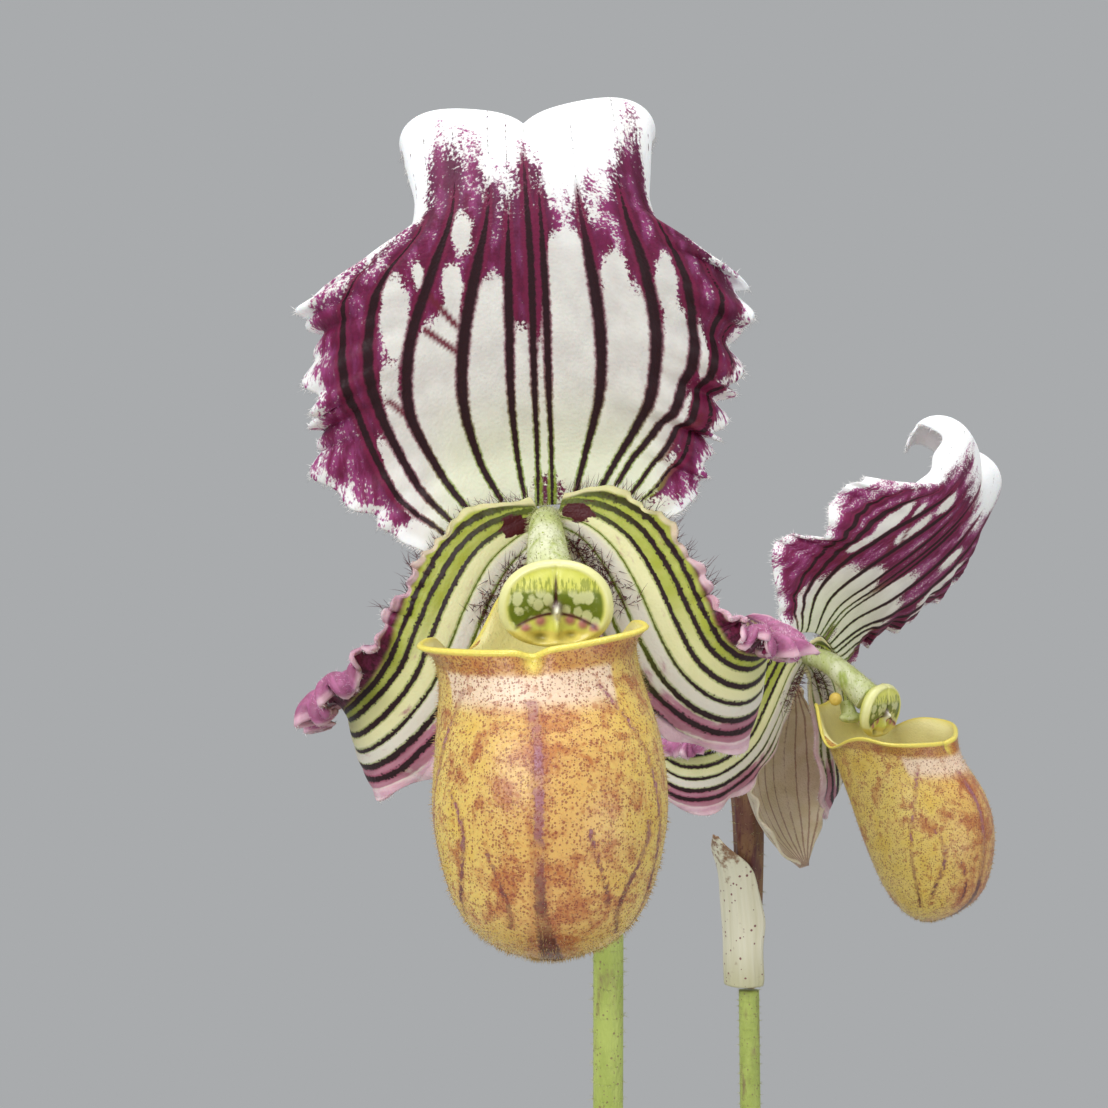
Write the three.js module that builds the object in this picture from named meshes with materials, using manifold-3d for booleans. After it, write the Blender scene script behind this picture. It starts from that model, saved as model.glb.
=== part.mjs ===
// A slipper orchid, Paphiopedilum fairrieanum, in a plain clay pot. Millimetres, +Z up, the flowers face -Y.
// Three growths share one rootstock. Each has a fan of strap leaves, and two carry a scape with one flower.
import * as THREE from "three";
import { mergeVertices } from "three/addons/utils/BufferGeometryUtils.js";
import Module from "manifold-3d";

const wasm = await Module();
wasm.setup();

// Driving dimensions
const POT_HEIGHT = 100;
const POT_BASE_RADIUS = 41;
const POT_WALL = 5;
const POT_FLOOR = 6;
const POT_RIM_RADIUS = 59;
const POT_BAND_HEIGHT = 22;
const POT_SHOULDER_RADIUS = 54.5;
const DRAIN_HOLE_RADIUS = 5;
const DRAIN_HOLE_CIRCLE = 23;
const DRAIN_HOLES = 4;
const MIX_TOP = 84;
const GAP = 0.3;
const ROUND_SIDES = 36;
const LEAF_THICKNESS = 1.4;
const PETAL_THICKNESS = 1;
const BRACT_THICKNESS = 0.8;
const SCAPE_RADIUS = 1.45;

const radians = THREE.MathUtils.degToRad;

// Values through equally spaced keys: a uniform Catmull-Rom curve with its end keys doubled, t from 0 to 1.
function through(keys, t) {
  if (Array.isArray(keys[0])) return keys[0].map((_, axis) => through(keys.map((key) => key[axis]), t));
  const last = keys.length - 1;
  const i = Math.min(Math.floor(t * last), last - 1);
  const u = t * last - i;
  const [a, b, c, d] = [i - 1, i, i + 1, i + 2].map((k) => keys[Math.max(0, Math.min(last, k))]);
  const square = 2 * a - 5 * b + 4 * c - d;
  const cube = 3 * b - a - 3 * c + d;
  return (2 * b + (c - a) * u + square * u ** 2 + cube * u ** 3) / 2;
}

const point = (keys, t) => new THREE.Vector3(...through(keys, t));

function tangent(keys, t) {
  const step = 0.004;
  return point(keys, Math.min(1, t + step)).sub(point(keys, Math.max(0, t - step))).normalize();
}

// A closed mesh from flat lists of corner coordinates and triangle corners.
function meshGeometry(positions, triangles) {
  const geometry = new THREE.BufferGeometry();
  geometry.setAttribute("position", new THREE.Float32BufferAttribute(positions, 3));
  geometry.setIndex(triangles);
  geometry.computeVertexNormals();
  return geometry;
}

function toSolid(geometry) {
  const bare = geometry.clone();
  bare.deleteAttribute("normal");
  bare.deleteAttribute("uv");
  const merged = mergeVertices(bare, 1e-3);
  return new wasm.Manifold(new wasm.Mesh({
    numProp: 3,
    vertProperties: new Float32Array(merged.attributes.position.array),
    triVerts: new Uint32Array(merged.index.array),
  }));
}

function toGeometry(solid) {
  const made = solid.getMesh();
  return meshGeometry(Array.from(made.vertProperties), Array.from(made.triVerts));
}

// How far a sheet's cross-section has gone sideways and towards its face at s, from -1 to 1 across its width.
// cup bends it evenly and roll turns only the margins. Both are the angle reached at the margin.
function crossSection(s, cup, roll) {
  const steps = 8;
  let sideways = 0;
  let forwards = 0;
  for (let i = 0; i < steps; i++) {
    const m = (s * (i + 0.5)) / steps;
    const angle = cup * m + roll * m * Math.abs(m) ** 3;
    sideways += (Math.cos(angle) * s) / steps;
    forwards += (Math.sin(angle) * s) / steps;
  }
  return [sideways, forwards];
}

// A point of a leaf-like sheet, s across and t along it. Its centre line, direction across, half width and
// bends are keys from base to tip. sag drops the margins back along the line, and the ruffle waves them.
function sheetPoint(shape, s, t) {
  const along = tangent(shape.line, t);
  const across = point(shape.across, t);
  across.addScaledVector(along, -across.dot(along)).normalize();
  const face = new THREE.Vector3().crossVectors(across, along);
  const half = through(shape.half, t);
  const roll = shape.roll ? through(shape.roll, t) : 0;
  const [sideways, forwards] = crossSection(s, through(shape.cup, t), roll);
  const phase = s < 0 ? 1.9 : 0;
  const wave = shape.ruffle
    ? through(shape.ruffle.size, t) * s ** 4 * Math.sin(2 * Math.PI * shape.ruffle.waves * t + phase)
    : 0;
  const sag = shape.sag ? through(shape.sag, t) * s * s : 0;
  return point(shape.line, t)
    .addScaledVector(across, half * sideways)
    .addScaledVector(face, half * forwards + wave)
    .addScaledVector(along, -sag);
}

// The sheet as a closed solid: two grids half a thickness either side of it, joined round the margin.
function sheetSolid(shape, { thickness, columns, rows, mirror = false }) {
  const positions = [];
  const step = 0.01;
  for (const side of [1, -1])
    for (let j = 0; j <= rows; j++)
      for (let i = 0; i <= columns; i++) {
        const s = (2 * i) / columns - 1;
        const t = j / rows;
        const sLow = Math.max(-1, s - step);
        const tLow = Math.max(0, t - step);
        const bySide = sheetPoint(shape, Math.min(1, s + step), t).sub(sheetPoint(shape, sLow, t));
        const byLength = sheetPoint(shape, s, Math.min(1, t + step)).sub(sheetPoint(shape, s, tLow));
        const normal = bySide.cross(byLength).normalize();
        const p = sheetPoint(shape, s, t).addScaledVector(normal, (side * thickness) / 2);
        positions.push(mirror ? -p.x : p.x, p.y, p.z);
      }
  const wide = columns + 1;
  const back = wide * (rows + 1);
  const triangles = [];
  const quad = (a, b, c, d) => triangles.push(...(mirror ? [a, c, b, a, d, c] : [a, b, c, a, c, d]));
  for (let j = 0; j < rows; j++)
    for (let i = 0; i < columns; i++) {
      const a = j * wide + i;
      quad(a, a + 1, a + 1 + wide, a + wide);
      quad(back + a + wide, back + a + 1 + wide, back + a + 1, back + a);
    }
  for (let i = 0; i < columns; i++) {
    const tip = rows * wide + i;
    quad(i + 1, i, back + i, back + i + 1);
    quad(tip, tip + 1, back + tip + 1, back + tip);
  }
  for (let j = 0; j < rows; j++) {
    const left = j * wide;
    const right = left + columns;
    quad(left, left + wide, back + left + wide, back + left);
    quad(right + wide, right, back + right, back + right + wide);
  }
  return meshGeometry(positions, triangles);
}

// A tube along keys whose radius is keyed too, with flat ends.
function taperedTube(keys, radii, { sides = 8, steps = 12 } = {}) {
  const positions = [];
  const triangles = [];
  const side = new THREE.Vector3(1, 0.13, 0.21);
  for (let j = 0; j <= steps; j++) {
    const t = j / steps;
    const along = tangent(keys, t);
    side.addScaledVector(along, -side.dot(along)).normalize();
    const other = new THREE.Vector3().crossVectors(along, side);
    for (let i = 0; i < sides; i++) {
      const turn = (2 * Math.PI * i) / sides;
      const p = point(keys, t)
        .addScaledVector(side, through(radii, t) * Math.cos(turn))
        .addScaledVector(other, through(radii, t) * Math.sin(turn));
      positions.push(p.x, p.y, p.z);
      const next = (i + 1) % sides;
      const a = j * sides;
      const b = a + sides;
      if (j < steps) triangles.push(a + i, a + next, b + next, a + i, b + next, b + i);
    }
  }
  for (let i = 1; i < sides - 1; i++) {
    const last = steps * sides;
    triangles.push(0, i + 1, i, last, last + i, last + i + 1);
  }
  return meshGeometry(positions, triangles);
}

// A ball squashed to three half sizes.
function pebble([x, y, z], [halfX, halfY, halfZ], sides = 8) {
  const geometry = new THREE.SphereGeometry(1, sides, Math.max(4, sides / 2));
  geometry.scale(halfX, halfY, halfZ);
  geometry.translate(x, y, z);
  return geometry;
}

const plant = new THREE.Group();

function add(group, name, geometry, material) {
  const mesh = new THREE.Mesh(geometry, material);
  mesh.name = name;
  group.add(mesh);
  return mesh;
}

const paint = (color, roughness = 0.6) => new THREE.MeshStandardMaterial({ color, roughness, metalness: 0 });
const materials = {
  clay: paint(0xb9683f, 0.9),
  bark: paint(0x5b3b26, 0.95),
  root: paint(0x8a6f4d, 0.9),
  leaf: paint(0x3f6a2c, 0.45),
  scape: paint(0x7d8f3a, 0.7),
  bract: paint(0xd9d6bf, 0.7),
  sepal: paint(0xd9cfd4, 0.55),
  petal: paint(0xc9cf9a, 0.55),
  lip: paint(0xd6a13c, 0.4),
  column: paint(0xc3cf86, 0.6),
  staminode: paint(0xcfd04a, 0.45),
  pollen: paint(0xe6cf5a, 0.5),
};

// Pot: a thrown clay pot with a thick band at the rim and drain holes through its floor
const INNER_BASE_RADIUS = POT_BASE_RADIUS - POT_WALL;
const INNER_TOP_RADIUS = POT_RIM_RADIUS - POT_WALL - 1;
const innerRadius = (z) =>
  THREE.MathUtils.mapLinear(z, POT_FLOOR, POT_HEIGHT, INNER_BASE_RADIUS, INNER_TOP_RADIUS);

function turned(profile, sides = ROUND_SIDES) {
  const geometry = new THREE.LatheGeometry(profile.map(([r, z]) => new THREE.Vector2(r, z)), sides);
  geometry.rotateX(Math.PI / 2);
  return geometry;
}

function pot() {
  const body = toSolid(turned([
    [0, 0],
    [POT_BASE_RADIUS - 1, 0],
    [POT_BASE_RADIUS, 1],
    [POT_SHOULDER_RADIUS, POT_HEIGHT - POT_BAND_HEIGHT],
    [POT_RIM_RADIUS - 1.4, POT_HEIGHT - POT_BAND_HEIGHT],
    [POT_RIM_RADIUS - 0.8, POT_HEIGHT - POT_BAND_HEIGHT + 1],
    [POT_RIM_RADIUS, POT_HEIGHT - 1.5],
    [POT_RIM_RADIUS - 1.5, POT_HEIGHT],
    [innerRadius(POT_HEIGHT) + 1, POT_HEIGHT],
    [innerRadius(POT_HEIGHT - 1), POT_HEIGHT - 1],
    [innerRadius(POT_FLOOR), POT_FLOOR],
    [0, POT_FLOOR],
  ]));
  let drained = body;
  for (let i = 0; i < DRAIN_HOLES; i++) {
    const turn = ((i + 0.5) * 2 * Math.PI) / DRAIN_HOLES;
    const drill = new THREE.CylinderGeometry(DRAIN_HOLE_RADIUS, DRAIN_HOLE_RADIUS, 4 * POT_FLOOR, 12);
    drill.rotateX(Math.PI / 2);
    drill.translate(DRAIN_HOLE_CIRCLE * Math.cos(turn), DRAIN_HOLE_CIRCLE * Math.sin(turn), 0);
    drained = drained.subtract(toSolid(drill));
  }
  return toGeometry(drained);
}

// Growths: where each one stands in the pot, and which way its fan of leaves spreads
const GROWTH_A = { x: -12, y: -13, spread: radians(8) };
const GROWTH_B = { x: 12, y: 28, spread: radians(14) };
const GROWTH_C = { x: 20, y: -33, spread: radians(-50) };
const CROWN_TOP = MIX_TOP + 5.5;

// Rootstock: a short rhizome with a stub under each growth and roots that run down into the mix.
// extra swells it, which makes the space that it takes in the mix.
const ROOTS = [
  { from: GROWTH_A, turn: 200, reach: 14, depth: 60 },
  { from: GROWTH_A, turn: 245, reach: 14, depth: 44 },
  { from: GROWTH_A, turn: 310, reach: 16, depth: 58 },
  { from: GROWTH_B, turn: 250, reach: 12, depth: 58 },
  { from: GROWTH_B, turn: 190, reach: 22, depth: 50 },
  { from: GROWTH_C, turn: 60, reach: 6, depth: 54 },
];

function rootstock(extra = 0) {
  const buried = MIX_TOP - 1.5;
  const stub = ({ x, y }, radius) =>
    taperedTube(
      [[x, y, MIX_TOP - 5 - extra], [x, y, CROWN_TOP + extra]],
      [radius * 0.7 + extra, radius + extra],
      { sides: 10, steps: 3 },
    );
  const rhizome = (a, b) =>
    taperedTube(
      [[a.x, a.y, buried], [(a.x + b.x) / 2, (a.y + b.y) / 2, buried - 1.5], [b.x, b.y, buried]],
      [3.6 + extra, 3.2 + extra, 3.6 + extra],
      { sides: 8, steps: 5 },
    );
  let body = toSolid(rhizome(GROWTH_A, GROWTH_B)).add(toSolid(rhizome(GROWTH_A, GROWTH_C)));
  body = body.add(toSolid(stub(GROWTH_A, 9))).add(toSolid(stub(GROWTH_B, 9))).add(toSolid(stub(GROWTH_C, 6)));
  for (const { from, turn, reach, depth } of ROOTS) {
    const way = [Math.cos(radians(turn)), Math.sin(radians(turn))];
    const at = (share, z) => [from.x + way[0] * reach * share, from.y + way[1] * reach * share, z];
    const deep = buried - depth;
    const path = [at(0.1, buried), at(0.5, buried - 6), at(0.9, (buried + deep) / 2), at(1, deep - extra)];
    const radii = [2, 1.8, 1.5].map((radius) => radius + extra);
    body = body.add(toSolid(taperedTube(path, radii, { sides: 6, steps: 8 })));
  }
  return body;
}

function pottingMix() {
  const wall = (z) => innerRadius(z) - GAP - 0.2;
  const body = toSolid(turned([
    [0, POT_FLOOR + GAP],
    [wall(POT_FLOOR + GAP) - 1, POT_FLOOR + GAP],
    [wall(MIX_TOP), MIX_TOP - 1],
    [wall(MIX_TOP) - 3, MIX_TOP],
    [0, MIX_TOP + 0.6],
  ]));
  return toGeometry(body.subtract(rootstock(GAP)));
}

// Bark chips: flat broken blocks lying on the mix, each a box whose corners are knocked about
const CHIPS = [
  { x: -36, y: 8, turn: 20, size: [15, 9, 5] },
  { x: -33, y: -20, turn: 75, size: [13, 8, 4.5] },
  { x: -6, y: -38, turn: -15, size: [16, 9, 5] },
  { x: 38, y: -16, turn: 60, size: [12, 8, 4] },
  { x: 40, y: 10, turn: 80, size: [13, 8, 5] },
  { x: -14, y: 36, turn: 15, size: [15, 10, 5] },
  { x: -16, y: 14, turn: -40, size: [14, 8, 4.5] },
  { x: 16, y: -5, turn: -20, size: [13, 8, 4.5] },
];

function barkChip({ x, y, turn, size }, seed) {
  const geometry = new THREE.BoxGeometry(...size, 2, 2, 1);
  const merged = mergeVertices(geometry.deleteAttribute("normal").deleteAttribute("uv"), 1e-3);
  const at = merged.attributes.position;
  for (let i = 0; i < at.count; i++) {
    const knock = (k) => 0.07 * Math.sin(12.9 * i + 78.2 * k + 37.7 * seed);
    const bulge = at.getZ(i) > 0 ? 1 : 0.96;
    at.setXYZ(
      i,
      at.getX(i) * (bulge + knock(1)),
      at.getY(i) * (bulge + knock(2)),
      at.getZ(i) > 0 ? at.getZ(i) * (1 + 3 * knock(3)) : at.getZ(i),
    );
  }
  merged.rotateZ(radians(turn));
  merged.translate(x, y, MIX_TOP + 0.6 + GAP + size[2] / 2);
  return merged;
}

// Leaves: straps that leave the crown steeply and arch over. spread is the fan's direction, and a leaf on its
// other rank points half a turn away. Steepness falls from rise at the base to droop at the tip, in degrees.
const LEAVES = {
  a: { growth: GROWTH_A, fan: [
    { rank: 1, root: 8.2, length: 126, half: 11.5, rise: 40, droop: -44, swing: -14 },
    { rank: -1, root: 7.4, length: 136, half: 12, rise: 44, droop: -40, swing: 8 },
    { rank: 1, root: 5.6, length: 134, half: 12, rise: 60, droop: -22, swing: 12 },
    { rank: -1, root: 4.8, length: 128, half: 11.5, rise: 63, droop: -14, swing: 22 },
    { rank: 1, root: 2.9, length: 88, half: 9.5, rise: 77, droop: 22, swing: 14 },
  ] },
  b: { growth: GROWTH_B, fan: [
    { rank: 1, root: 8.2, length: 122, half: 11, rise: 42, droop: -38, swing: 14 },
    { rank: -1, root: 7.4, length: 118, half: 11, rise: 48, droop: -36, swing: -22 },
    { rank: 1, root: 5.6, length: 120, half: 11.5, rise: 63, droop: -10, swing: -8 },
    { rank: -1, root: 4.8, length: 108, half: 11, rise: 66, droop: -6, swing: -30 },
    { rank: 1, root: 2.9, length: 80, half: 9, rise: 78, droop: 30, swing: 30 },
  ] },
  c: { growth: GROWTH_C, fan: [
    { rank: 1, root: 4.6, length: 74, half: 8.5, rise: 52, droop: -16, swing: 12 },
    { rank: -1, root: 3.6, length: 48, half: 7, rise: 86, droop: 74, swing: 0 },
    { rank: 1, root: 2.0, length: 56, half: 6.5, rise: 76, droop: 34, swing: -20 },
  ] },
};
const LEAF_KEYS = 9;

function leafShape(growth, leaf) {
  const heading = growth.spread + (leaf.rank < 0 ? Math.PI : 0);
  let x = growth.x + leaf.root * Math.cos(heading);
  let y = growth.y + leaf.root * Math.sin(heading);
  let z = CROWN_TOP + GAP + LEAF_THICKNESS / 2;
  const line = [[x, y, z]];
  const across = [];
  const pace = leaf.length / (LEAF_KEYS - 1);
  for (let i = 1; i < LEAF_KEYS; i++) {
    const share = (i - 0.5) / (LEAF_KEYS - 1);
    const steep = radians(leaf.rise + (leaf.droop - leaf.rise) * share ** 1.15);
    const turn = heading + radians(leaf.swing) * share;
    x += pace * Math.cos(steep) * Math.cos(turn);
    y += pace * Math.cos(steep) * Math.sin(turn);
    z += pace * Math.sin(steep);
    line.push([x, y, z]);
    across.push([Math.sin(turn), -Math.cos(turn), 0]);
  }
  across.push(across.at(-1));
  const widths = [0.42, 0.62, 0.86, 0.97, 1, 0.98, 0.9, 0.68, 0.1];
  return {
    line,
    across,
    half: widths.map((share) => share * leaf.half),
    cup: [0.6, 0.55, 0.5, 0.42, 0.38, 0.36, 0.36, 0.36, 0.4],
  };
}

// Flower shapes, in the flower's own frame: its centre is where sepals and petals meet, x to the viewer's
// right, y to the back, z up. A sheet's face is the side that looks at the viewer.
const DORSAL_SEPAL = {
  line: [
    [0, 3.6, 1.5], [0, 3, 6], [0, 0, 11], [0, -2.6, 16], [0, -4.6, 21],
    [0, -5.6, 25.5], [0, -5.2, 30], [0, -3, 33.2], [0, 0.6, 34], [0, 3.6, 31.4],
  ],
  across: [[1, 0, 0], [1, 0, 0]],
  half: [2.4, 14.5, 18.8, 19.4, 15.6, 12.9, 12.8, 12.8, 11.8, 8.6],
  cup: [0.2, 0.05, -0.05, -0.1, -0.2, -0.3, -0.2, 0.2, 0.45, 0.4],
  roll: [0, 0, 0, -0.1, -0.7, -2.1, -2.4, -2.3, -2.2, -1.8],
  sag: [0, 3, 2.2, 0, -1, -0.6, 0, 0, 0, -2],
  ruffle: { size: [0, 1.2, 1.4, 1.4, 0.6, 0.2, 0.2, 0.2, 0.2, 0.2], waves: 5.5 },
};
const SYNSEPAL = {
  line: [[0, 4.6, -4.8], [0, 7, -9], [0, 8.8, -14.5], [0, 8.6, -20.4], [0, 6, -26], [0, 2.4, -30]],
  across: [[-1, 0, 0], [-1, 0, 0]],
  half: [1.8, 7.8, 11.2, 11.4, 8, 1.2],
  cup: [0.9, 0.95, 0.9, 0.9, 0.8, 0.5],
};
const PETAL = {
  line: [
    [3.5, 1.6, -0.9], [5, 1, -2.2], [7.2, 0.6, -4.4], [9.2, 0.6, -7.6], [10.8, 0.8, -11], [12.9, 1.4, -14.2],
    [15.8, 2.8, -16.6], [18.4, 5.6, -17.8], [20, 9.2, -17.2], [20, 12.8, -15.2], [18.2, 15.2, -12.8],
  ],
  across: [
    [-0.45, 0, -0.9], [-0.55, 0, -0.84], [-0.66, 0, -0.75], [-0.72, 0, -0.7], [-0.72, 0, -0.7],
    [-0.64, 0, -0.77], [-0.5, 0, -0.87], [-0.3, 0, -0.95], [-0.2, 0, -0.98], [-0.1, 0.1, -1], [0, 0.1, -1],
  ],
  half: [1.9, 3.3, 4.2, 4.6, 4.8, 5, 5, 4.6, 4, 3.1, 0.8],
  cup: [0.2, -0.1, -0.3, -0.35, -0.35, -0.3, -0.3, -0.2, -0.2, -0.2, -0.2],
};

// Lip: a pouch whose rings each run between a front and a back point, given as [y, z] from toe to rim.
// pinch narrows the back of a ring, where the rim runs in to the claw under the column.
const LIP_FRONT = [
  [-17, -35], [-20.8, -33.4], [-24, -30], [-25.2, -24], [-24.2, -18.6], [-21.4, -14], [-20.6, -11.6],
];
const LIP_BACK = [
  [-16.6, -35], [-14, -33.4], [-11.4, -30.2], [-8.4, -24.3], [-5.6, -18], [-2.8, -12], [-0.9, -7.4],
];
const LIP_HALF = [0.4, 4.6, 7.4, 9.1, 9.1, 8.5, 9];
const LIP_PINCH = [0, 0, 0.02, 0.08, 0.16, 0.3, 0.42];
const LIP_WALL = 0.9;
const LIP_TOE = [-16.8, -35.1];
const LIP_INNER_TOE = [-17.2, -32.4];

function lipSolid(rings = 10, sides = 18) {
  const positions = [];
  const triangles = [];
  const ring = (t, inset) => {
    const front = through(LIP_FRONT, t);
    const back = through(LIP_BACK, t);
    const depth = Math.hypot(front[0] - back[0], front[1] - back[1]) / 2;
    const shrink = Math.max(0.2, 1 - inset / depth);
    for (let i = 0; i < sides; i++) {
      const turn = (2 * Math.PI * i) / sides;
      const share = (1 - Math.cos(turn) * shrink) / 2;
      const x = (through(LIP_HALF, t) - inset) * Math.sin(turn) * (1 - through(LIP_PINCH, t) * share ** 2);
      const [y, z] = front.map((value, axis) => THREE.MathUtils.lerp(value, back[axis], share));
      positions.push(x, y, z);
    }
  };
  for (let j = 1; j <= rings; j++) ring(j / rings, 0);
  for (let j = rings; j >= 2; j--) ring(j / rings, LIP_WALL);
  const count = positions.length / 3 / sides;
  for (let j = 0; j < count - 1; j++)
    for (let i = 0; i < sides; i++) {
      const next = (i + 1) % sides;
      const [a, b] = [j * sides, (j + 1) * sides];
      triangles.push(a + i, a + next, b + next, a + i, b + next, b + i);
    }
  const toe = positions.length / 3;
  positions.push(0, ...LIP_TOE, 0, ...LIP_INNER_TOE);
  for (let i = 0; i < sides; i++) {
    const next = (i + 1) % sides;
    const inner = (count - 1) * sides;
    triangles.push(toe, next, i, toe + 1, inner + i, inner + next);
  }
  return meshGeometry(positions, triangles);
}

// Column: it comes forward from the flower's centre and droops to the staminode
const COLUMN_LINE = [[0, 1.6, -1.1], [0, -2.4, -2.3], [0, -7.8, -6]];
const COLUMN_RADII = [1.4, 1.8, 1.5];

// Ovary: it leaves the flower's back and bends down to its foot on the scape
const OVARY_NECK = [[0, 5, -1.5], [0, 9.5, -3]];
const OVARY_RADII = [1.6, 1.9, 2.2, 2.2, 1.5];

// Bract: the papery sheath that wraps the foot of the ovary and the top of the scape
const BRACT = {
  line: [[0, 3.6, 0.5], [0, 3.8, 8], [0, 4.4, 16], [0, 6.4, 22]],
  across: [[1, 0, 0], [1, 0, 0]],
  half: [5.2, 5.6, 4.6, 0.6],
  cup: [1.8, 1.7, 1.1, 0.4],
};

// Staminode: a domed shield, wider than tall, that closes the column
function staminodeSolid() {
  const geometry = pebble([0, 0, 0], [4.75, 0.9, 3.6], 12);
  geometry.rotateX(radians(8));
  geometry.translate(0, -9.3, -8);
  return geometry;
}

function stigmaSolid() {
  const stalk = toSolid(taperedTube([[0, -4.4, -6.6], [0, -5, -8.6]], [0.9, 1.1], { sides: 6, steps: 2 }));
  return toGeometry(stalk.add(toSolid(pebble([0, -5.2, -8.8], [2, 1.4, 0.8], 8))));
}

function flower(letter, { centre, turn, sepalTilt, sepalSpread, petalRoll, foot, bractTurn }) {
  const group = new THREE.Group();
  group.position.set(...centre);
  group.rotation.z = turn;
  const name = (part) => `${part}_${letter}`;
  const sheet = { thickness: PETAL_THICKNESS };
  const dorsal = sheetSolid(DORSAL_SEPAL, { ...sheet, columns: 12, rows: 22 });
  dorsal.scale(sepalSpread, 1, 1);
  add(group, name("dorsal_sepal"), dorsal, materials.sepal).rotation.set(...sepalTilt);
  add(group, name("synsepal"), sheetSolid(SYNSEPAL, { ...sheet, columns: 8, rows: 10 }), materials.sepal);
  for (const [side, mirror] of [["left", true], ["right", false]]) {
    const petal = sheetSolid(PETAL, { ...sheet, columns: 5, rows: 18, mirror });
    add(group, name(`petal_${side}`), petal, materials.petal).rotation.y = petalRoll[side];
  }
  add(group, name("lip"), lipSolid(), materials.lip);
  add(group, name("column"), taperedTube(COLUMN_LINE, COLUMN_RADII, { steps: 5 }), materials.column);
  add(group, name("staminode"), staminodeSolid(), materials.staminode);
  add(group, name("stigma"), stigmaSolid(), materials.column);
  for (const [side, sign] of [["left", -1], ["right", 1]])
    add(group, name(`anther_${side}`), pebble([sign * 2.8, -4.4, -6.2], [0.8, 0.9, 0.9], 6), materials.pollen);
  const [x, y, z] = foot;
  const ovary = [...OVARY_NECK, [x * 0.4, y + 1, -9], [x * 0.8, y, z / 2 - 1], foot];
  add(group, name("ovary"), taperedTube(ovary, OVARY_RADII, { steps: 12 }), materials.scape);
  const bract = new THREE.Group();
  bract.position.set(x, y, z);
  bract.rotation.z = bractTurn;
  const papery = sheetSolid(BRACT, { thickness: BRACT_THICKNESS, columns: 7, rows: 7 });
  add(bract, name("bract"), papery, materials.bract);
  group.add(bract);
  plant.add(group);
  group.updateMatrixWorld(true);
  return group.localToWorld(new THREE.Vector3(x, y, z - 2 * GAP)).toArray();
}

// Assembly
add(plant, "pot", pot(), materials.clay);
add(plant, "potting_mix", pottingMix(), materials.bark);
add(plant, "rootstock", toGeometry(rootstock()), materials.root);
CHIPS.forEach((chip, i) => add(plant, `bark_chip_${i + 1}`, barkChip(chip, i), materials.bark));
for (const [letter, { growth, fan }] of Object.entries(LEAVES))
  fan.forEach((leaf, i) => {
    const strap = sheetSolid(leafShape(growth, leaf), { thickness: LEAF_THICKNESS, columns: 4, rows: 14 });
    add(plant, `leaf_${letter}${i + 1}`, strap, materials.leaf);
  });

const footA = flower("a", {
  centre: [-17.3, -40, 303.6],
  turn: 0,
  sepalTilt: [0, radians(-4), 0],
  sepalSpread: 1,
  petalRoll: { left: radians(-4), right: radians(-4) },
  foot: [5.5, 15, -38],
  bractTurn: 0,
});
const footB = flower("b", {
  centre: [19.4, 48, 286.6],
  turn: radians(50),
  sepalTilt: [radians(26), radians(28), radians(-12)],
  sepalSpread: 0.7,
  petalRoll: { left: radians(12), right: radians(9) },
  foot: [1, 12, -48.3],
  bractTurn: radians(75),
});

// Scapes: each leaves its crown at a slant and comes upright as it climbs to the flower's foot
function scape(growth, foot) {
  const path = [0, 0.2, 0.4, 0.6, 0.8, 1].map((share) => {
    const eased = 1 - (1 - share) ** 1.5;
    return [
      THREE.MathUtils.lerp(growth.x, foot[0], eased),
      THREE.MathUtils.lerp(growth.y, foot[1], eased),
      THREE.MathUtils.lerp(CROWN_TOP + 3 * GAP, foot[2], share),
    ];
  });
  return taperedTube(path, [SCAPE_RADIUS * 1.2, SCAPE_RADIUS, SCAPE_RADIUS], { steps: 16 });
}
add(plant, "scape_a", scape(GROWTH_A, footA), materials.scape);
add(plant, "scape_b", scape(GROWTH_B, footB), materials.scape);

export default plant;
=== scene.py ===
import bpy
import numpy as np
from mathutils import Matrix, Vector


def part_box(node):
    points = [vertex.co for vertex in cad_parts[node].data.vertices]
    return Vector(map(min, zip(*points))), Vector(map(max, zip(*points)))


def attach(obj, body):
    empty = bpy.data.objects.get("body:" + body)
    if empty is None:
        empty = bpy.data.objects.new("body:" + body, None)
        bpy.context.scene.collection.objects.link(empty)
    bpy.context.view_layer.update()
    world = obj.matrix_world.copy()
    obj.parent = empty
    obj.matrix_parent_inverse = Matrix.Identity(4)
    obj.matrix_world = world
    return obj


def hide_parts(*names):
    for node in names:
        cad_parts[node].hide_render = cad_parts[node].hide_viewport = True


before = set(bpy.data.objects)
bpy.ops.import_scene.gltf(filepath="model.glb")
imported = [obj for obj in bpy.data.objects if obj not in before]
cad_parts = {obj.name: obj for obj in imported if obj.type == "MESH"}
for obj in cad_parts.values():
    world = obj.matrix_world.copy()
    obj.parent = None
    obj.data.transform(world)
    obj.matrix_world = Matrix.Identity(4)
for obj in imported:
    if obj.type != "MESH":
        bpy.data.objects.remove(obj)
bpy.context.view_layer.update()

# Clay pot: thrown and fired without glaze, with a thick band at the rim and four drain holes through its
# floor. It stands on its flat foot and carries everything else.
MM = 0.001
POT_HEIGHT = 100
POT_BASE_RADIUS = 41
POT_RIM_RADIUS = 59
POT_SHOULDER_RADIUS = 54.5
POT_BAND_HEIGHT = 22
POT_WALL = 5
POT_FLOOR = 6
POT_INNER_TOP = POT_RIM_RADIUS - POT_WALL - 1
POT_INNER_BASE = POT_BASE_RADIUS - POT_WALL
DRAIN_HOLE_RADIUS = 5
DRAIN_HOLE_CIRCLE = 23
DRAIN_HOLES = 4
POT_SIDES = 96
PROFILE_STEP = 2.5
HAND_WOBBLE = 0.12


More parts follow.
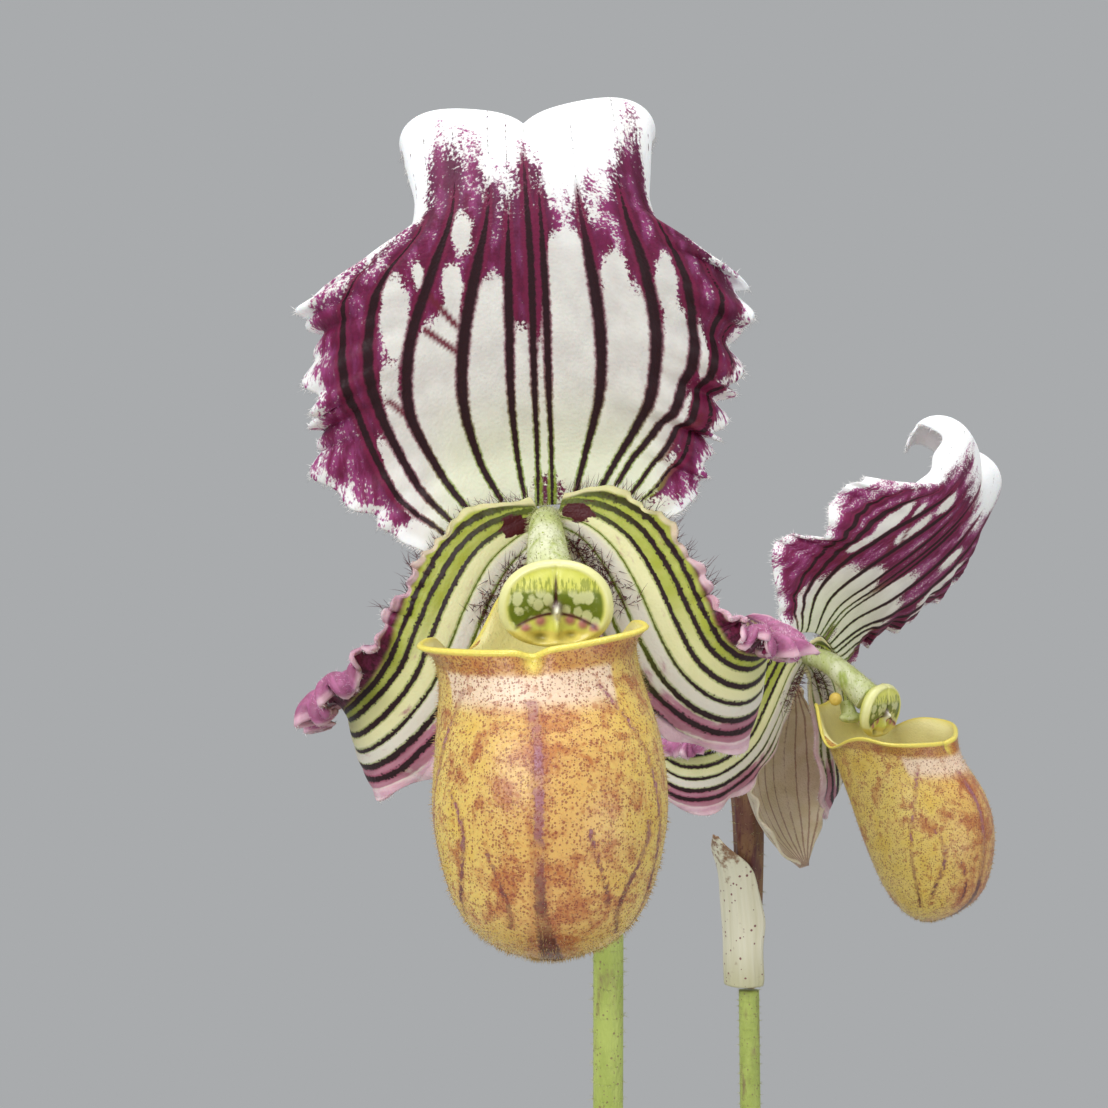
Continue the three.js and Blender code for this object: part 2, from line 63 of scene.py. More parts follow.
def grid_faces(rows, columns, wrap=False):
    """Squares between the points of a grid numbered row by row; wrap joins the last column to the first."""
    j, i = np.meshgrid(np.arange(rows - 1), np.arange(columns if wrap else columns - 1), indexing="ij")
    low = j * columns + i
    low_next = j * columns + (i + 1) % columns
    return np.stack([low, low_next, low_next + columns, low + columns], -1).reshape(-1, 4)


def capped(points):
    """A closed body from rings of points: squares between the rings, and a fan to each end ring's middle."""
    rings, sides = points.shape[:2]
    ends = points[[0, -1]].mean(1)
    vertices = np.concatenate([points.reshape(-1, 3), ends])
    i = np.arange(sides)
    after = (i + 1) % sides
    last = (rings - 1) * sides
    first_fan = np.stack([np.full(sides, rings * sides), after, i], -1)
    last_fan = np.stack([np.full(sides, rings * sides + 1), last + i, last + after], -1)
    return vertices, [grid_faces(rings, sides, wrap=True), first_fan, last_fan]


def with_ends(values):
    """Values on a grid of rings, followed by the mean of each end ring, to go with the points of capped."""
    return np.concatenate([values.reshape(-1, *values.shape[2:]), values[[0, -1]].mean(1)])


def mesh_object(name, vertices, faces, attributes=None):
    """A smooth mesh from points in millimetres, arrays of faces with equal corner counts and point values."""
    mesh = bpy.data.meshes.new(name)
    mesh.vertices.add(len(vertices))
    mesh.vertices.foreach_set("co", (vertices * MM).astype(np.float32).ravel())
    corners = np.concatenate([part.ravel() for part in faces])
    counts = np.concatenate([np.full(len(part), part.shape[1]) for part in faces])
    mesh.loops.add(len(corners))
    mesh.loops.foreach_set("vertex_index", corners.astype(np.int32))
    mesh.polygons.add(len(counts))
    mesh.polygons.foreach_set("loop_start", (np.cumsum(counts) - counts).astype(np.int32))
    mesh.update(calc_edges=True)
    mesh.shade_smooth()
    for label, values in (attributes or {}).items():
        kind, field = ("FLOAT_VECTOR", "vector") if values.ndim == 2 else ("FLOAT", "value")
        layer = mesh.attributes.new(label, kind, "POINT")
        layer.data.foreach_set(field, values.astype(np.float32).ravel())
    made = bpy.data.objects.new(name, mesh)
    bpy.context.scene.collection.objects.link(made)
    return made


def piece(name, vertices, faces, material, slot, replaces=(), attributes=None):
    """A piece of the plant: its mesh, its material, the CAD nodes that it stands for, and its record slot,
    which is not used.
    """
    made = mesh_object(name, vertices, faces, attributes)
    made.data.materials.append(material)
    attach(made, "root")
    if replaces:
        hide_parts(*replaces)


def colour(code):
    """A web colour such as d9a93c as linear red, green and blue with full alpha."""
    channels = np.array([int(code[i:i + 2], 16) for i in (0, 2, 4)]) / 255
    linear = np.where(channels <= 0.04045, channels / 12.92, ((channels + 0.055) / 1.055) ** 2.4)
    return (*linear.tolist(), 1.0)


def node(tree, kind, inputs=None, **settings):
    """Adds a shader node. Settings are its own options, and each input takes a value or another socket."""
    made = tree.nodes.new("ShaderNode" + kind)
    for name, value in settings.items():
        setattr(made, name, value)
    for name, value in (inputs or {}).items():
        if isinstance(value, bpy.types.NodeSocket):
            tree.links.new(value, made.inputs[name])
        else:
            made.inputs[name].default_value = value
    return made


def calc(tree, operation, *values):
    """One step of arithmetic on values or sockets."""
    return node(tree, "Math", dict(enumerate(values)), operation=operation).outputs[0]


def times(tree, value, factor):
    """A value or a mask times a factor."""
    return calc(tree, "MULTIPLY", value, factor)


def fade(tree, value, low, high):
    """Goes smoothly from 0 to 1 as the value goes from low to high."""
    inputs = {"Value": value, "From Min": low, "From Max": high}
    return node(tree, "MapRange", inputs, interpolation_type="SMOOTHSTEP").outputs[0]


def mix(tree, mask, under, over):
    """The colour under where the mask is 0, and the colour over where it is 1."""
    return node(tree, "Mix", {0: mask, 6: under, 7: over}, data_type="RGBA").outputs[2]


def noise(tree, place, scale, detail=3.0, roughness=0.5):
    """Cloudy values from 0 to 1 round 0.5, with about scale clouds to a unit of the place."""
    inputs = {"Vector": place, "Scale": scale, "Detail": detail, "Roughness": roughness}
    return node(tree, "TexNoise", inputs).outputs[0]


def stretched(tree, place, scale):
    """A place with each axis times its own scale, so that a pattern there runs long one way."""
    return node(tree, "Mapping", {"Vector": place, "Scale": scale}).outputs[0]


def object_place(tree, stretch=(1, 1, 1)):
    """Object coordinates in millimetres, times stretch."""
    place = node(tree, "TexCoord").outputs["Object"]
    scale = [1 / MM * share for share in stretch]
    return stretched(tree, place, scale)


def material(name):
    """A new material, and its own node tree, empty."""
    made = bpy.data.materials.new(name)
    made.use_nodes = True
    made.node_tree.nodes.clear()
    return made, made.node_tree


def surface(tree, base, roughness, height, depth, **constants):
    """Ends a material in a Principled BSDF, whose bump is height times depth in millimetres."""
    bump = node(tree, "Bump", {"Height": height, "Distance": depth * MM, "Strength": 1.0})
    inputs = {"Base Color": base, "Roughness": roughness, "Normal": bump.outputs[0]}
    inputs.update({name.replace("_", " "): value for name, value in constants.items()})
    shader = node(tree, "BsdfPrincipled", inputs)
    output = node(tree, "OutputMaterial")
    tree.links.new(shader.outputs[0], output.inputs["Surface"])


def group(name, inputs, outputs):
    """An empty shader node group with named sockets, and its own entry and exit."""
    made = bpy.data.node_groups.new(name, "ShaderNodeTree")
    for label, kind in inputs.items():
        made.interface.new_socket(label, in_out="INPUT", socket_type="NodeSocket" + kind)
    for label in outputs:
        made.interface.new_socket(label, in_out="OUTPUT", socket_type="NodeSocketFloat")
    return made, made.nodes.new("NodeGroupInput").outputs, made.nodes.new("NodeGroupOutput").inputs


def blotch_group():
    """Cloudy patches: Mask is 1 over the share of the surface that Amount says, its edges as wide as
    Softness."""
    made, entry, leave = group(
        "blotch", {"Vector": "Vector", "Scale": "Float", "Amount": "Float", "Softness": "Float"}, ["Mask"]
    )
    cloud = noise(made, entry["Vector"], entry["Scale"], detail=5.0, roughness=0.6)
    spread = calc(made, "MULTIPLY_ADD", cloud, 2.4, -0.7)
    level = calc(made, "SUBTRACT", 1.0, entry["Amount"])
    low = calc(made, "SUBTRACT", level, entry["Softness"])
    high = calc(made, "ADD", level, entry["Softness"])
    made.links.new(fade(made, spread, low, high), leave["Mask"])
    return made


blotch = blotch_group()


def blotches(tree, place, scale, amount, softness=0.1):
    """A mask of cloudy patches that cover about amount of the surface."""
    inputs = {"Vector": place, "Scale": scale, "Amount": amount, "Softness": softness}
    return node(tree, "Group", inputs, node_tree=blotch).outputs["Mask"]


def clay_material():
    """Fired clay: orange-brown and clouded, with fine turning lines, pale salt near the rim, and a foot that
    damp has darkened."""
    made, tree = material("clay")
    place = object_place(tree)
    height = node(tree, "SeparateXYZ", {"Vector": place}).outputs["Z"]
    base = mix(tree, blotches(tree, place, 0.05, 0.5, 0.5), colour("b0633f"), colour("c27a52"))
    base = mix(tree, blotches(tree, place, 0.6, 0.3, 0.2), base, colour("9c5433"))
    salt = times(tree, blotches(tree, place, 0.12, 0.42, 0.25), fade(tree, height, 45, 80))
    base = mix(tree, times(tree, salt, 0.55), base, colour("dcc6b4"))
    damp = times(tree, fade(tree, height, 26, 4), 0.5)
    base = mix(tree, damp, base, colour("7c452c"))
    rings = noise(tree, object_place(tree, (0.02, 0.02, 2.2)), 1.0)
    grit = noise(tree, place, 3.5)
    relief = calc(tree, "ADD", rings, times(tree, grit, 0.5))
    surface(tree, base, 0.88, relief, 0.25)
    return made


def pot_shell():
    """The pot's outline turned about its axis: from the foot's middle out, up, over the rim and down inside.
    Two slow waves round it stand for the thrower's hand."""
    band_foot = POT_HEIGHT - POT_BAND_HEIGHT
    corners = [
        (0.3, 0), (POT_BASE_RADIUS - 2, 0), (POT_BASE_RADIUS, 1.6), (POT_SHOULDER_RADIUS, band_foot - 0.6),
        (POT_SHOULDER_RADIUS + 0.8, band_foot), (POT_RIM_RADIUS - 1.6, band_foot),
        (POT_RIM_RADIUS - 0.7, band_foot + 1.4), (POT_RIM_RADIUS, POT_HEIGHT - 2.5),
        (POT_RIM_RADIUS - 1.2, POT_HEIGHT - 0.4), (POT_RIM_RADIUS - 2.6, POT_HEIGHT),
        (POT_INNER_TOP + 1.6, POT_HEIGHT), (POT_INNER_TOP + 0.2, POT_HEIGHT - 1.2),
        (POT_INNER_BASE + 0.6, POT_FLOOR + 2), (POT_INNER_BASE - 2, POT_FLOOR), (0.3, POT_FLOOR),
    ]
    profile = [np.array(corners[0], float)]
    for start, end in zip(corners, corners[1:]):
        steps = max(2, int(np.hypot(end[0] - start[0], end[1] - start[1]) / PROFILE_STEP))
        shares = np.linspace(0, 1, steps + 1)[1:, None]
        profile.extend(np.array(start) + shares * (np.array(end) - start))
    profile = np.array(profile)
    angle = np.linspace(0, 2 * np.pi, POT_SIDES, endpoint=False)
    hand = HAND_WOBBLE * np.sin(3 * angle + 0.8) + HAND_WOBBLE * 2 / 3 * np.sin(7 * angle)
    radius = profile[:, :1] + hand * np.minimum(1, profile[:, :1] / 30)
    height = np.broadcast_to(profile[:, 1:], radius.shape)
    return np.stack([radius * np.cos(angle), radius * np.sin(angle), height], -1)


def drill(turn):
    """A round bar that stands where a drain hole goes."""
    angle = np.linspace(0, 2 * np.pi, 32, endpoint=False)
    ring = np.stack([np.cos(angle), np.sin(angle), 0 * angle], -1) * DRAIN_HOLE_RADIUS
    middle = DRAIN_HOLE_CIRCLE * np.array([np.cos(turn), np.sin(turn), 0])
    return np.stack([ring + middle + [0, 0, z] for z in (-5.0, POT_FLOOR + 5.0)])


def drilled(body, cutters):
    """Cuts each cutter out of the body, and takes the cutters away."""
    for cutter in cutters:
        cut = body.modifiers.new("drain hole", "BOOLEAN")
        cut.operation = "DIFFERENCE"
        cut.object = cutter
        cut.solver = "EXACT"
    bpy.context.view_layer.update()
    cut_mesh = bpy.data.meshes.new_from_object(body.evaluated_get(bpy.context.evaluated_depsgraph_get()))
    body.modifiers.clear()
    body.data = cut_mesh
    for cutter in cutters:
        bpy.data.objects.remove(cutter)


clay = clay_material()
pot_turns = [(i + 0.5) * 2 * np.pi / DRAIN_HOLES for i in range(DRAIN_HOLES)]
pot = mesh_object("clay_pot", *capped(pot_shell()))
pot.data.materials.append(clay)
drilled(pot, [mesh_object(f"drill_{i}", *capped(drill(turn))) for i, turn in enumerate(pot_turns)])
pot.data.shade_smooth()
pot.data.set_sharp_from_angle(angle=np.radians(40))
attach(pot, "root")
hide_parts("pot")


# Bark mix: one bed of packed bark in the pot, its top a jumble of chip faces, with loose chips lying on it.
# Eight larger chips are pieces of their own.
MIX_TOP = 84
BARK_SEEDS = 420
LOOSE_CHIPS = 170
LOOSE_CHIP_SMALLEST = [5, 3.5, 2]
LOOSE_CHIP_LARGEST = [11, 7, 3.6]
SCATTER_RADIUS = 45
CROWN_CLEARANCE = 13
CHIP_SQUARENESS = 0.45
CHIP_KNOCK = 0.09
LARGE_CHIPS = [
    # turn in degrees, length and width
    (20, 15, 9), (75, 13.5, 8), (-15, 16, 9), (60, 12, 8),
    (80, 13.5, 8), (15, 15, 10), (-40, 13.5, 8), (-20, 13.5, 8),
]
CROWNS = {"a": (-12, -13), "b": (12, 28), "c": (20, -33)}
GAP = 0.3
chance = np.random.default_rng(11)


def bark_material():
    """Fir bark: red-brown flakes with dark cracks along the grain and pale dust on the high spots."""
    made, tree = material("bark")
    place = object_place(tree)
    flakes = object_place(tree, (1, 1, 2.5))
    base = mix(tree, blotches(tree, place, 0.25, 0.5, 0.3), colour("5a3a26"), colour("7b5336"))
    base = mix(tree, blotches(tree, flakes, 0.9, 0.35, 0.12), base, colour("3a2419"))
    base = mix(tree, times(tree, blotches(tree, place, 1.6, 0.22, 0.1), 0.7), base, colour("a5805c"))
    cracks = noise(tree, flakes, 1.3, detail=6.0, roughness=0.65)
    surface(tree, base, 0.92, cracks, 0.9)
    return made


def squared(value, power):
    """A sine or cosine raised to a power under 1 with its sign kept, which squares off a circle."""
    return np.sign(value) * np.abs(value) ** power


def chip_points(size, turn, tilt, middle, rings, sides, knock):
    """A squared-off ball: sines and cosines raised to a power under 1, then knocked about by three waves."""
    down = np.linspace(0.06, np.pi - 0.06, rings)[:, None]
    round_ = np.linspace(0, 2 * np.pi, sides, endpoint=False)[None, :]
    x = squared(np.sin(down), CHIP_SQUARENESS) * squared(np.cos(round_), CHIP_SQUARENESS)
    y = squared(np.sin(down), CHIP_SQUARENESS) * squared(np.sin(round_), CHIP_SQUARENESS)
    z = -squared(np.cos(down), CHIP_SQUARENESS) + 0 * round_
    points = np.stack([x, y, z], -1) * np.array(size) / 2
    points = points + np.sin(points @ knock[:3].T * 0.55 + knock[3]) * np.array(size) * CHIP_KNOCK
    c, s = np.cos(tilt), np.sin(tilt)
    points = points @ np.array([[c, 0, -s], [0, 1, 0], [s, 0, c]])
    c, s = np.cos(turn), np.sin(turn)
    return points @ np.array([[c, s, 0], [-s, c, 0], [0, 0, 1]]) + middle


def knocks():
    """Three random wave directions and their phases, for one chip."""
    return np.concatenate([chance.normal(size=(3, 3)), chance.uniform(0, 6, (1, 3))])


def bed_top(x, y):
    """Height of the bed: each point lies on the tilted face of the nearest of many random chips."""
    seed_turn = chance.uniform(0, 2 * np.pi, BARK_SEEDS)
    seed_radius = POT_INNER_TOP * np.sqrt(chance.uniform(0, 1, BARK_SEEDS))
    seeds = np.stack([seed_radius * np.cos(seed_turn), seed_radius * np.sin(seed_turn)], -1)
    slope = chance.normal(0, 0.22, (BARK_SEEDS, 2))
    level = chance.uniform(-2.6, 0.2, BARK_SEEDS)
    away = np.stack([x, y], -1)[..., None, :] - seeds
    nearest = np.argmin((away ** 2).sum(-1), -1)
    offset = np.take_along_axis(away, nearest[..., None, None], -2)[..., 0, :]
    return MIX_TOP + level[nearest] + (offset * slope[nearest]).sum(-1)


def bark_bed():
    """Rings out from the middle of the bed's top to the pot's wall, then down the wall and under the bed."""
    share_up = (MIX_TOP - POT_FLOOR) / (POT_HEIGHT - POT_FLOOR)
    wall_top = POT_INNER_BASE + share_up * (POT_INNER_TOP - POT_INNER_BASE) - GAP - 0.6
    angle = np.linspace(0, 2 * np.pi, 180, endpoint=False)
    radius = np.linspace(0.5, wall_top, 72)[:, None]
    x, y = radius * np.cos(angle), radius * np.sin(angle)
    top = np.stack([x, y, np.minimum(bed_top(x, y), MIX_TOP + 0.8)], -1)
    side = [
        (wall_top - 0.4, MIX_TOP - 4), (POT_INNER_BASE + 0.2, POT_FLOOR + 1.5),
        (POT_INNER_BASE - 1.5, POT_FLOOR + GAP), (0.5, POT_FLOOR + GAP),
    ]
    below = [np.stack([r * np.cos(angle), r * np.sin(angle), 0 * angle + z], -1) for r, z in side]
    return np.concatenate([top, below])[::-1]


def loose_chips():
    """Many small chips with few faces, scattered over the bed but not on the crowns, joined in one mesh."""
    vertices, squares, fans = [], [], []
    count = 0
    crowns = np.array(list(CROWNS.values()))
    while len(vertices) < LOOSE_CHIPS:
        turn, reach = chance.uniform(0, 2 * np.pi), SCATTER_RADIUS * np.sqrt(chance.uniform(0.02, 1))
        middle = np.array([reach * np.cos(turn), reach * np.sin(turn), MIX_TOP + chance.uniform(-0.6, 1.0)])
        size = chance.uniform(LOOSE_CHIP_SMALLEST, LOOSE_CHIP_LARGEST)
        if np.min(np.hypot(*(crowns - middle[:2]).T)) < CROWN_CLEARANCE:
            continue
        points = chip_points(size, chance.uniform(0, 6.3), chance.normal(0, 0.25), middle, 5, 8, knocks())
        points[..., 2] = np.maximum(points[..., 2], MIX_TOP - 4)
        corners, (sides, first, last) = capped(points)
        vertices.append(corners)
        squares.append(sides + count)
        fans.append(np.concatenate([first, last]) + count)
        count += len(corners)
    return np.concatenate(vertices), [np.concatenate(squares), np.concatenate(fans)]


bark = bark_material()
piece("bark_bed", *capped(bark_bed()), bark, "bark", replaces=["potting_mix"])
piece("loose_bark", *loose_chips(), bark, "bark")
for number, (turn, length, width) in enumerate(LARGE_CHIPS, 1):
    low, high = (np.array(corner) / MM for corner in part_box(f"bark_chip_{number}"))
    size = (length, width, high[2] - low[2])
    points = chip_points(size, np.radians(turn), 0.03, (low + high) / 2, 24, 40, knocks())
    points[..., 2] = np.clip(points[..., 2], low[2], high[2] + 0.4)
    piece(f"chip_{number}", *capped(points), bark, "bark", replaces=[f"bark_chip_{number}"])


# Rootstock: the short rhizome, the stub under each growth and the thick roots, grown as one piece in the mix.
# Only the tops of its stubs show between the leaves.
def root_material():
    """Root skin: tan and felted, with brown patches and fine wrinkles."""
    made, tree = material("root")
    place = object_place(tree)
    base = mix(tree, blotches(tree, place, 0.4, 0.5, 0.3), colour("8a6c48"), colour("6b4f33"))
    base = mix(tree, blotches(tree, place, 2.0, 0.3, 0.15), base, colour("a68f68"))
    surface(tree, base, 0.9, noise(tree, place, 1.8), 0.4)
    return made


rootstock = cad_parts["rootstock"]
rootstock.data.materials.clear()
rootstock.data.materials.append(root_material())


# Leaves: tough straps folded along the midrib, that leave the crown steeply and arch over. Each is one thick
# skin, glossy dark green above with a faint chequer, paler below.
CROWN_TOP = MIX_TOP + 5.5
LEAF_THICKNESS = 1.4
LEAF_KEYS = 9
LEAF_WIDTHS = [0.42, 0.62, 0.86, 0.97, 1, 0.98, 0.9, 0.68, 0.1]
LEAF_CUP = [0.6, 0.55, 0.5, 0.42, 0.38, 0.36, 0.36, 0.36, 0.4]
LEAF_TIP_START = 0.9
LEAF_GROOVE = 0.9
LEAF_WAVE = 0.5
GROWTHS = {
    "a": {"crown": CROWNS["a"], "spread": 8, "fan": [
        # side of the fan, distance from its middle, length, half width, steepness at foot and tip, swing
        (1, 8.2, 126, 11.5, 40, -44, -14),
        (-1, 7.4, 136, 12, 44, -40, 8),
        (1, 5.6, 134, 12, 60, -22, 12),
        (-1, 4.8, 128, 11.5, 63, -14, 22),
        (1, 2.9, 88, 9.5, 77, 22, 14),
    ]},
    "b": {"crown": CROWNS["b"], "spread": 14, "fan": [
        (1, 8.2, 122, 11, 42, -38, 14),
        (-1, 7.4, 118, 11, 48, -36, -22),
        (1, 5.6, 120, 11.5, 63, -10, -8),
        (-1, 4.8, 108, 11, 66, -6, -30),
        (1, 2.9, 80, 9, 78, 30, 30),
    ]},
    "c": {"crown": CROWNS["c"], "spread": -50, "fan": [
        (1, 4.6, 74, 8.5, 52, -16, 12),
        (-1, 3.6, 48, 7, 86, 74, 0),
        (1, 2.0, 56, 6.5, 76, 34, -20),
    ]},
}


def through(keys, t):
    """Values through equally spaced keys: between b and c, with a before and d after,
    (2b + (c - a)u + (2a - 5b + 4c - d)u² + (3b - a - 3c + d)u³) / 2, with the end keys doubled."""
    keys = np.asarray(keys, float)
    last = len(keys) - 1
    place = np.clip(np.asarray(t, float), 0, 1) * last
    i = np.minimum(place.astype(int), last - 1)
    u = (place - i)[..., None] if keys.ndim > 1 else place - i
    a, b, c, d = (keys[np.clip(i + k, 0, last)] for k in (-1, 0, 1, 2))
    return (2 * b + (c - a) * u + (2 * a - 5 * b + 4 * c - d) * u ** 2 + (3 * b - a - 3 * c + d) * u ** 3) / 2


def unit(vectors):
    """Each vector divided by its length."""
    return vectors / np.linalg.norm(vectors, axis=-1, keepdims=True)


def tangent(keys, t):
    """Direction of the curve through the keys, from two points close to t."""
    step = 0.004
    return unit(through(keys, np.minimum(1, t + step)) - through(keys, np.maximum(0, t - step)))


def cross_section(s, cup, roll):
    """How far a sheet has gone sideways and forwards at s: the sums of the cosine and the sine of the angle
    cup·m + roll·m·|m|³ in equal steps of m from 0 to s. cup bends it evenly, and roll turns its margins."""
    steps = 24
    m = s * ((np.arange(steps) + 0.5) / steps)[:, None, None]
    angle = cup * m + roll * m * np.abs(m) ** 3
    return np.cos(angle).mean(0) * s, np.sin(angle).mean(0) * s


def sheet(s, t, line, across, half, cup=0.0, roll=0.0, sag=0.0, relief=0.0):
    """A leaf-like sheet: line(t) + across·half·sideways + face·(half·forwards + relief) - along·sag·s².
    s runs from -1 to 1 across it and t from 0 to 1 along it, and face is across times along."""
    along = tangent(line, t[:, 0])
    across = through(across, t[:, 0])
    across = unit(across - along * (across * along).sum(-1, keepdims=True))
    face = np.cross(across, along)
    sideways, forwards = cross_section(s, cup, roll)
    return (
        through(line, t[:, 0])[:, None, :]
        + across[:, None, :] * (half * sideways)[..., None]
        + face[:, None, :] * (half * forwards + relief)[..., None]
        - along[:, None, :] * (sag * s * s)[..., None]
    )


def across_and_along(columns, rows):
    """The two parameters of a sheet: s from -1 to 1 across it, as a row, and t from 0 to 1 along it, as a
    column."""
    return np.linspace(-1, 1, columns)[None, :], np.linspace(0, 1, rows)[:, None]


def front_way(points):
    """The unit normal at each point of a grid, towards its front."""
    return unit(np.cross(np.gradient(points, axis=1), np.gradient(points, axis=0)))


def shell(points, thickness):
    """Closes a grid of points into a sheet: a front and a back, half the thickness away along the normal,
    joined by a strip round the margin."""
    offset = front_way(points) * (np.broadcast_to(thickness, points.shape[:2])[..., None] / 2)
    vertices = np.concatenate([(points + offset).reshape(-1, 3), (points - offset).reshape(-1, 3)])
    rows, columns = points.shape[:2]
    front = grid_faces(rows, columns)
    number = np.arange(rows * columns).reshape(rows, columns)
    border = np.concatenate([number[0, :-1], number[:-1, -1], number[-1, :0:-1], number[:0:-1, 0]])
    after = np.roll(border, -1)
    back = rows * columns
    strip = np.stack([after, border, border + back, after + back], -1)
    return vertices, [front, front[:, ::-1] + back, strip]


def both_sides(**values):
    """Point values for a shell, the same on its front and its back, with side 0 in front and 1 behind."""
    made = {}
    for label, array in values.items():
        front = array.reshape(-1, *array.shape[2:])
        made[label] = np.concatenate([front, front])
    made["side"] = np.repeat([0.0, 1.0], len(front))
    return made


def read(tree, label, output="Fac"):
    """A value stored at the points of the mesh."""
    return node(tree, "Attribute", attribute_name=label).outputs[output]


def skin_group():
    """Living skin: Height is small rounded cells, and Tone is a slow change of shade between 0 and 1."""
    made, entry, leave = group("skin", {"Vector": "Vector", "Scale": "Float"}, ["Height", "Tone"])
    cells = node(made, "TexVoronoi", {"Vector": entry["Vector"], "Scale": entry["Scale"]}).outputs["Distance"]
    slow = times(made, entry["Scale"], 0.12)
    cloud = noise(made, entry["Vector"], slow)
    made.links.new(calc(made, "SUBTRACT", 1.0, cells), leave["Height"])
    made.links.new(fade(made, cloud, 0.3, 0.7), leave["Tone"])
    return made


skin = skin_group()


def skin_at(tree, place, scale):
    """Living skin at a place, with about scale cells to a millimetre: its pores' height, and its tone."""
    made = node(tree, "Group", {"Vector": place, "Scale": scale}, node_tree=skin)
    return made.outputs["Height"], made.outputs["Tone"]


def leaf_material():
    """Leaf: dark green with darker chequered cells along its length, a light midrib, a pale underside and a
    purple flush at its foot."""
    made, tree = material("leaf")
    flat = read(tree, "flat", "Vector")
    pores, tone = skin_at(tree, flat, 3.0)
    squares = stretched(tree, flat, (0.42, 0.16, 1))
    chequer = node(tree, "TexVoronoi", {"Vector": squares, "Scale": 1.0}, feature="F1").outputs["Color"]
    patch = node(tree, "SeparateColor", {"Color": chequer}).outputs[0]
    base = mix(tree, tone, colour("3c6427"), colour("4f7a33"))
    base = mix(tree, times(tree, fade(tree, patch, 0.3, 0.9), 0.35), base, colour("2c4d22"))
    rib = times(tree, read(tree, "rib"), 0.55)
    base = mix(tree, rib, base, colour("8fa85a"))
    base = mix(tree, times(tree, read(tree, "side"), 0.6), base, colour("7d9a5c"))
    foot = times(tree, read(tree, "foot"), blotches(tree, flat, 1.4, 0.5, 0.2))
    base = mix(tree, foot, base, colour("5c3040"))
    lines = noise(tree, stretched(tree, flat, (1.6, 0.05, 1)), 1.0)
    relief = calc(tree, "ADD", lines, times(tree, pores, 0.15))
    gloss = calc(tree, "MULTIPLY_ADD", tone, 0.12, 0.3)
    surface(tree, base, gloss, relief, 0.25, Coat_Weight=0.15, Coat_Roughness=0.25)
    return made


def leaf_line(growth, leaf):
    """The midrib: equal steps whose steepness falls from rise to droop and whose heading swings sideways.
    Returns it with the direction across the leaf at each step."""
    rank, root, length, _, rise, droop, swing = leaf
    heading = np.radians(growth["spread"] + (180 if rank < 0 else 0))
    share = (np.arange(1, LEAF_KEYS) - 0.5) / (LEAF_KEYS - 1)
    steep = np.radians(rise + (droop - rise) * share ** 1.15)
    turn = heading + np.radians(swing) * share
    steps = np.stack([np.cos(steep) * np.cos(turn), np.cos(steep) * np.sin(turn), np.sin(steep)], -1)
    start = np.array(growth["crown"]) + root * np.array([np.cos(heading), np.sin(heading)])
    foot = np.array([*start, CROWN_TOP + GAP + LEAF_THICKNESS / 2])
    line = np.concatenate([[foot], foot + np.cumsum(steps * length / (LEAF_KEYS - 1), 0)])
    across = np.stack([np.sin(turn), -np.cos(turn), 0 * turn], -1)
    return line, np.concatenate([across, across[-1:]])


def leaf_mesh(growth, leaf):
    """One leaf: a sheet with a groove along the midrib and slow waves in its margins, rounded at the tip."""
    s, t = across_and_along(25, 61)
    line, across = leaf_line(growth, leaf)
    _, _, length, half_width, _, _, _ = leaf
    tip = np.sqrt(np.clip(1 - ((t - LEAF_TIP_START) / 0.104) ** 2, 0, 1))
    half = through(LEAF_WIDTHS, t) * half_width * np.where(t > LEAF_TIP_START, tip, 1)
    phase = length
    groove = -LEAF_GROOVE * np.exp(-(s / 0.12) ** 2) * np.sin(np.pi * np.clip(t * 1.02, 0, 1)) ** 0.3
    wave = LEAF_WAVE * s ** 2 * np.sin(9 * t + phase + 0.8 * np.sign(s)) * np.clip(t * 4, 0, 1)
    points = sheet(s, t, line, across, np.maximum(half, 0.25), through(LEAF_CUP, t), relief=groove + wave)
    thickness = LEAF_THICKNESS * (0.35 + 0.65 * (1 - np.abs(s) ** 3)) * np.clip(1.25 - t, 0.3, 1)
    grid = np.ones_like(s * t)
    values = both_sides(
        flat=np.stack([s * half, t * length * grid, grid * phase], -1),
        rib=np.exp(-(s / 0.06) ** 2) * grid,
        foot=np.clip(1 - t * 7, 0, 1) * grid,
    )
    return (*shell(points, thickness), values)


leaf_green = leaf_material()
for letter, growth in GROWTHS.items():
    for number, leaf in enumerate(growth["fan"], 1):
        vertices, faces, values = leaf_mesh(growth, leaf)
        name = f"leaf_{letter}{number}"
        piece(f"strap_{name}", vertices, faces, leaf_green, "leaf", replaces=[name], attributes=values)


# Flowers: two of one clone. Flower a faces the viewer, and flower b stands behind it, turned and tipped.
# A flower's own frame has its centre where sepals and petals meet, x to the viewer's right, y back, z up.
# Its foot is where the ovary meets the scape. Turns, tilts and rolls are in degrees.
FLOWERS = {
    "a": {
        "centre": (-17.3, -40, 303.6), "turn": 0, "detail": 1,
        "sepal_tilt": (0, -4, 0), "sepal_spread": 1, "sepal_aside": 0,
        "petal_roll": {"left": -4, "right": -4}, "foot": (5.5, 15, -38), "bract_turn": 0,
    },
    "b": {
        "centre": (19.4, 48, 286.6), "turn": 50, "detail": 0.6,
        "sepal_tilt": (22, 27, -12), "sepal_spread": 0.7, "sepal_aside": 3,
        "petal_roll": {"left": 12, "right": 9}, "foot": (1, 12, -48.3), "bract_turn": 75,
    },
}


def fine(count, flower):
    """A count of grid lines or hairs: in full on the near flower, and fewer on the far one."""
    return int(count * flower["detail"])


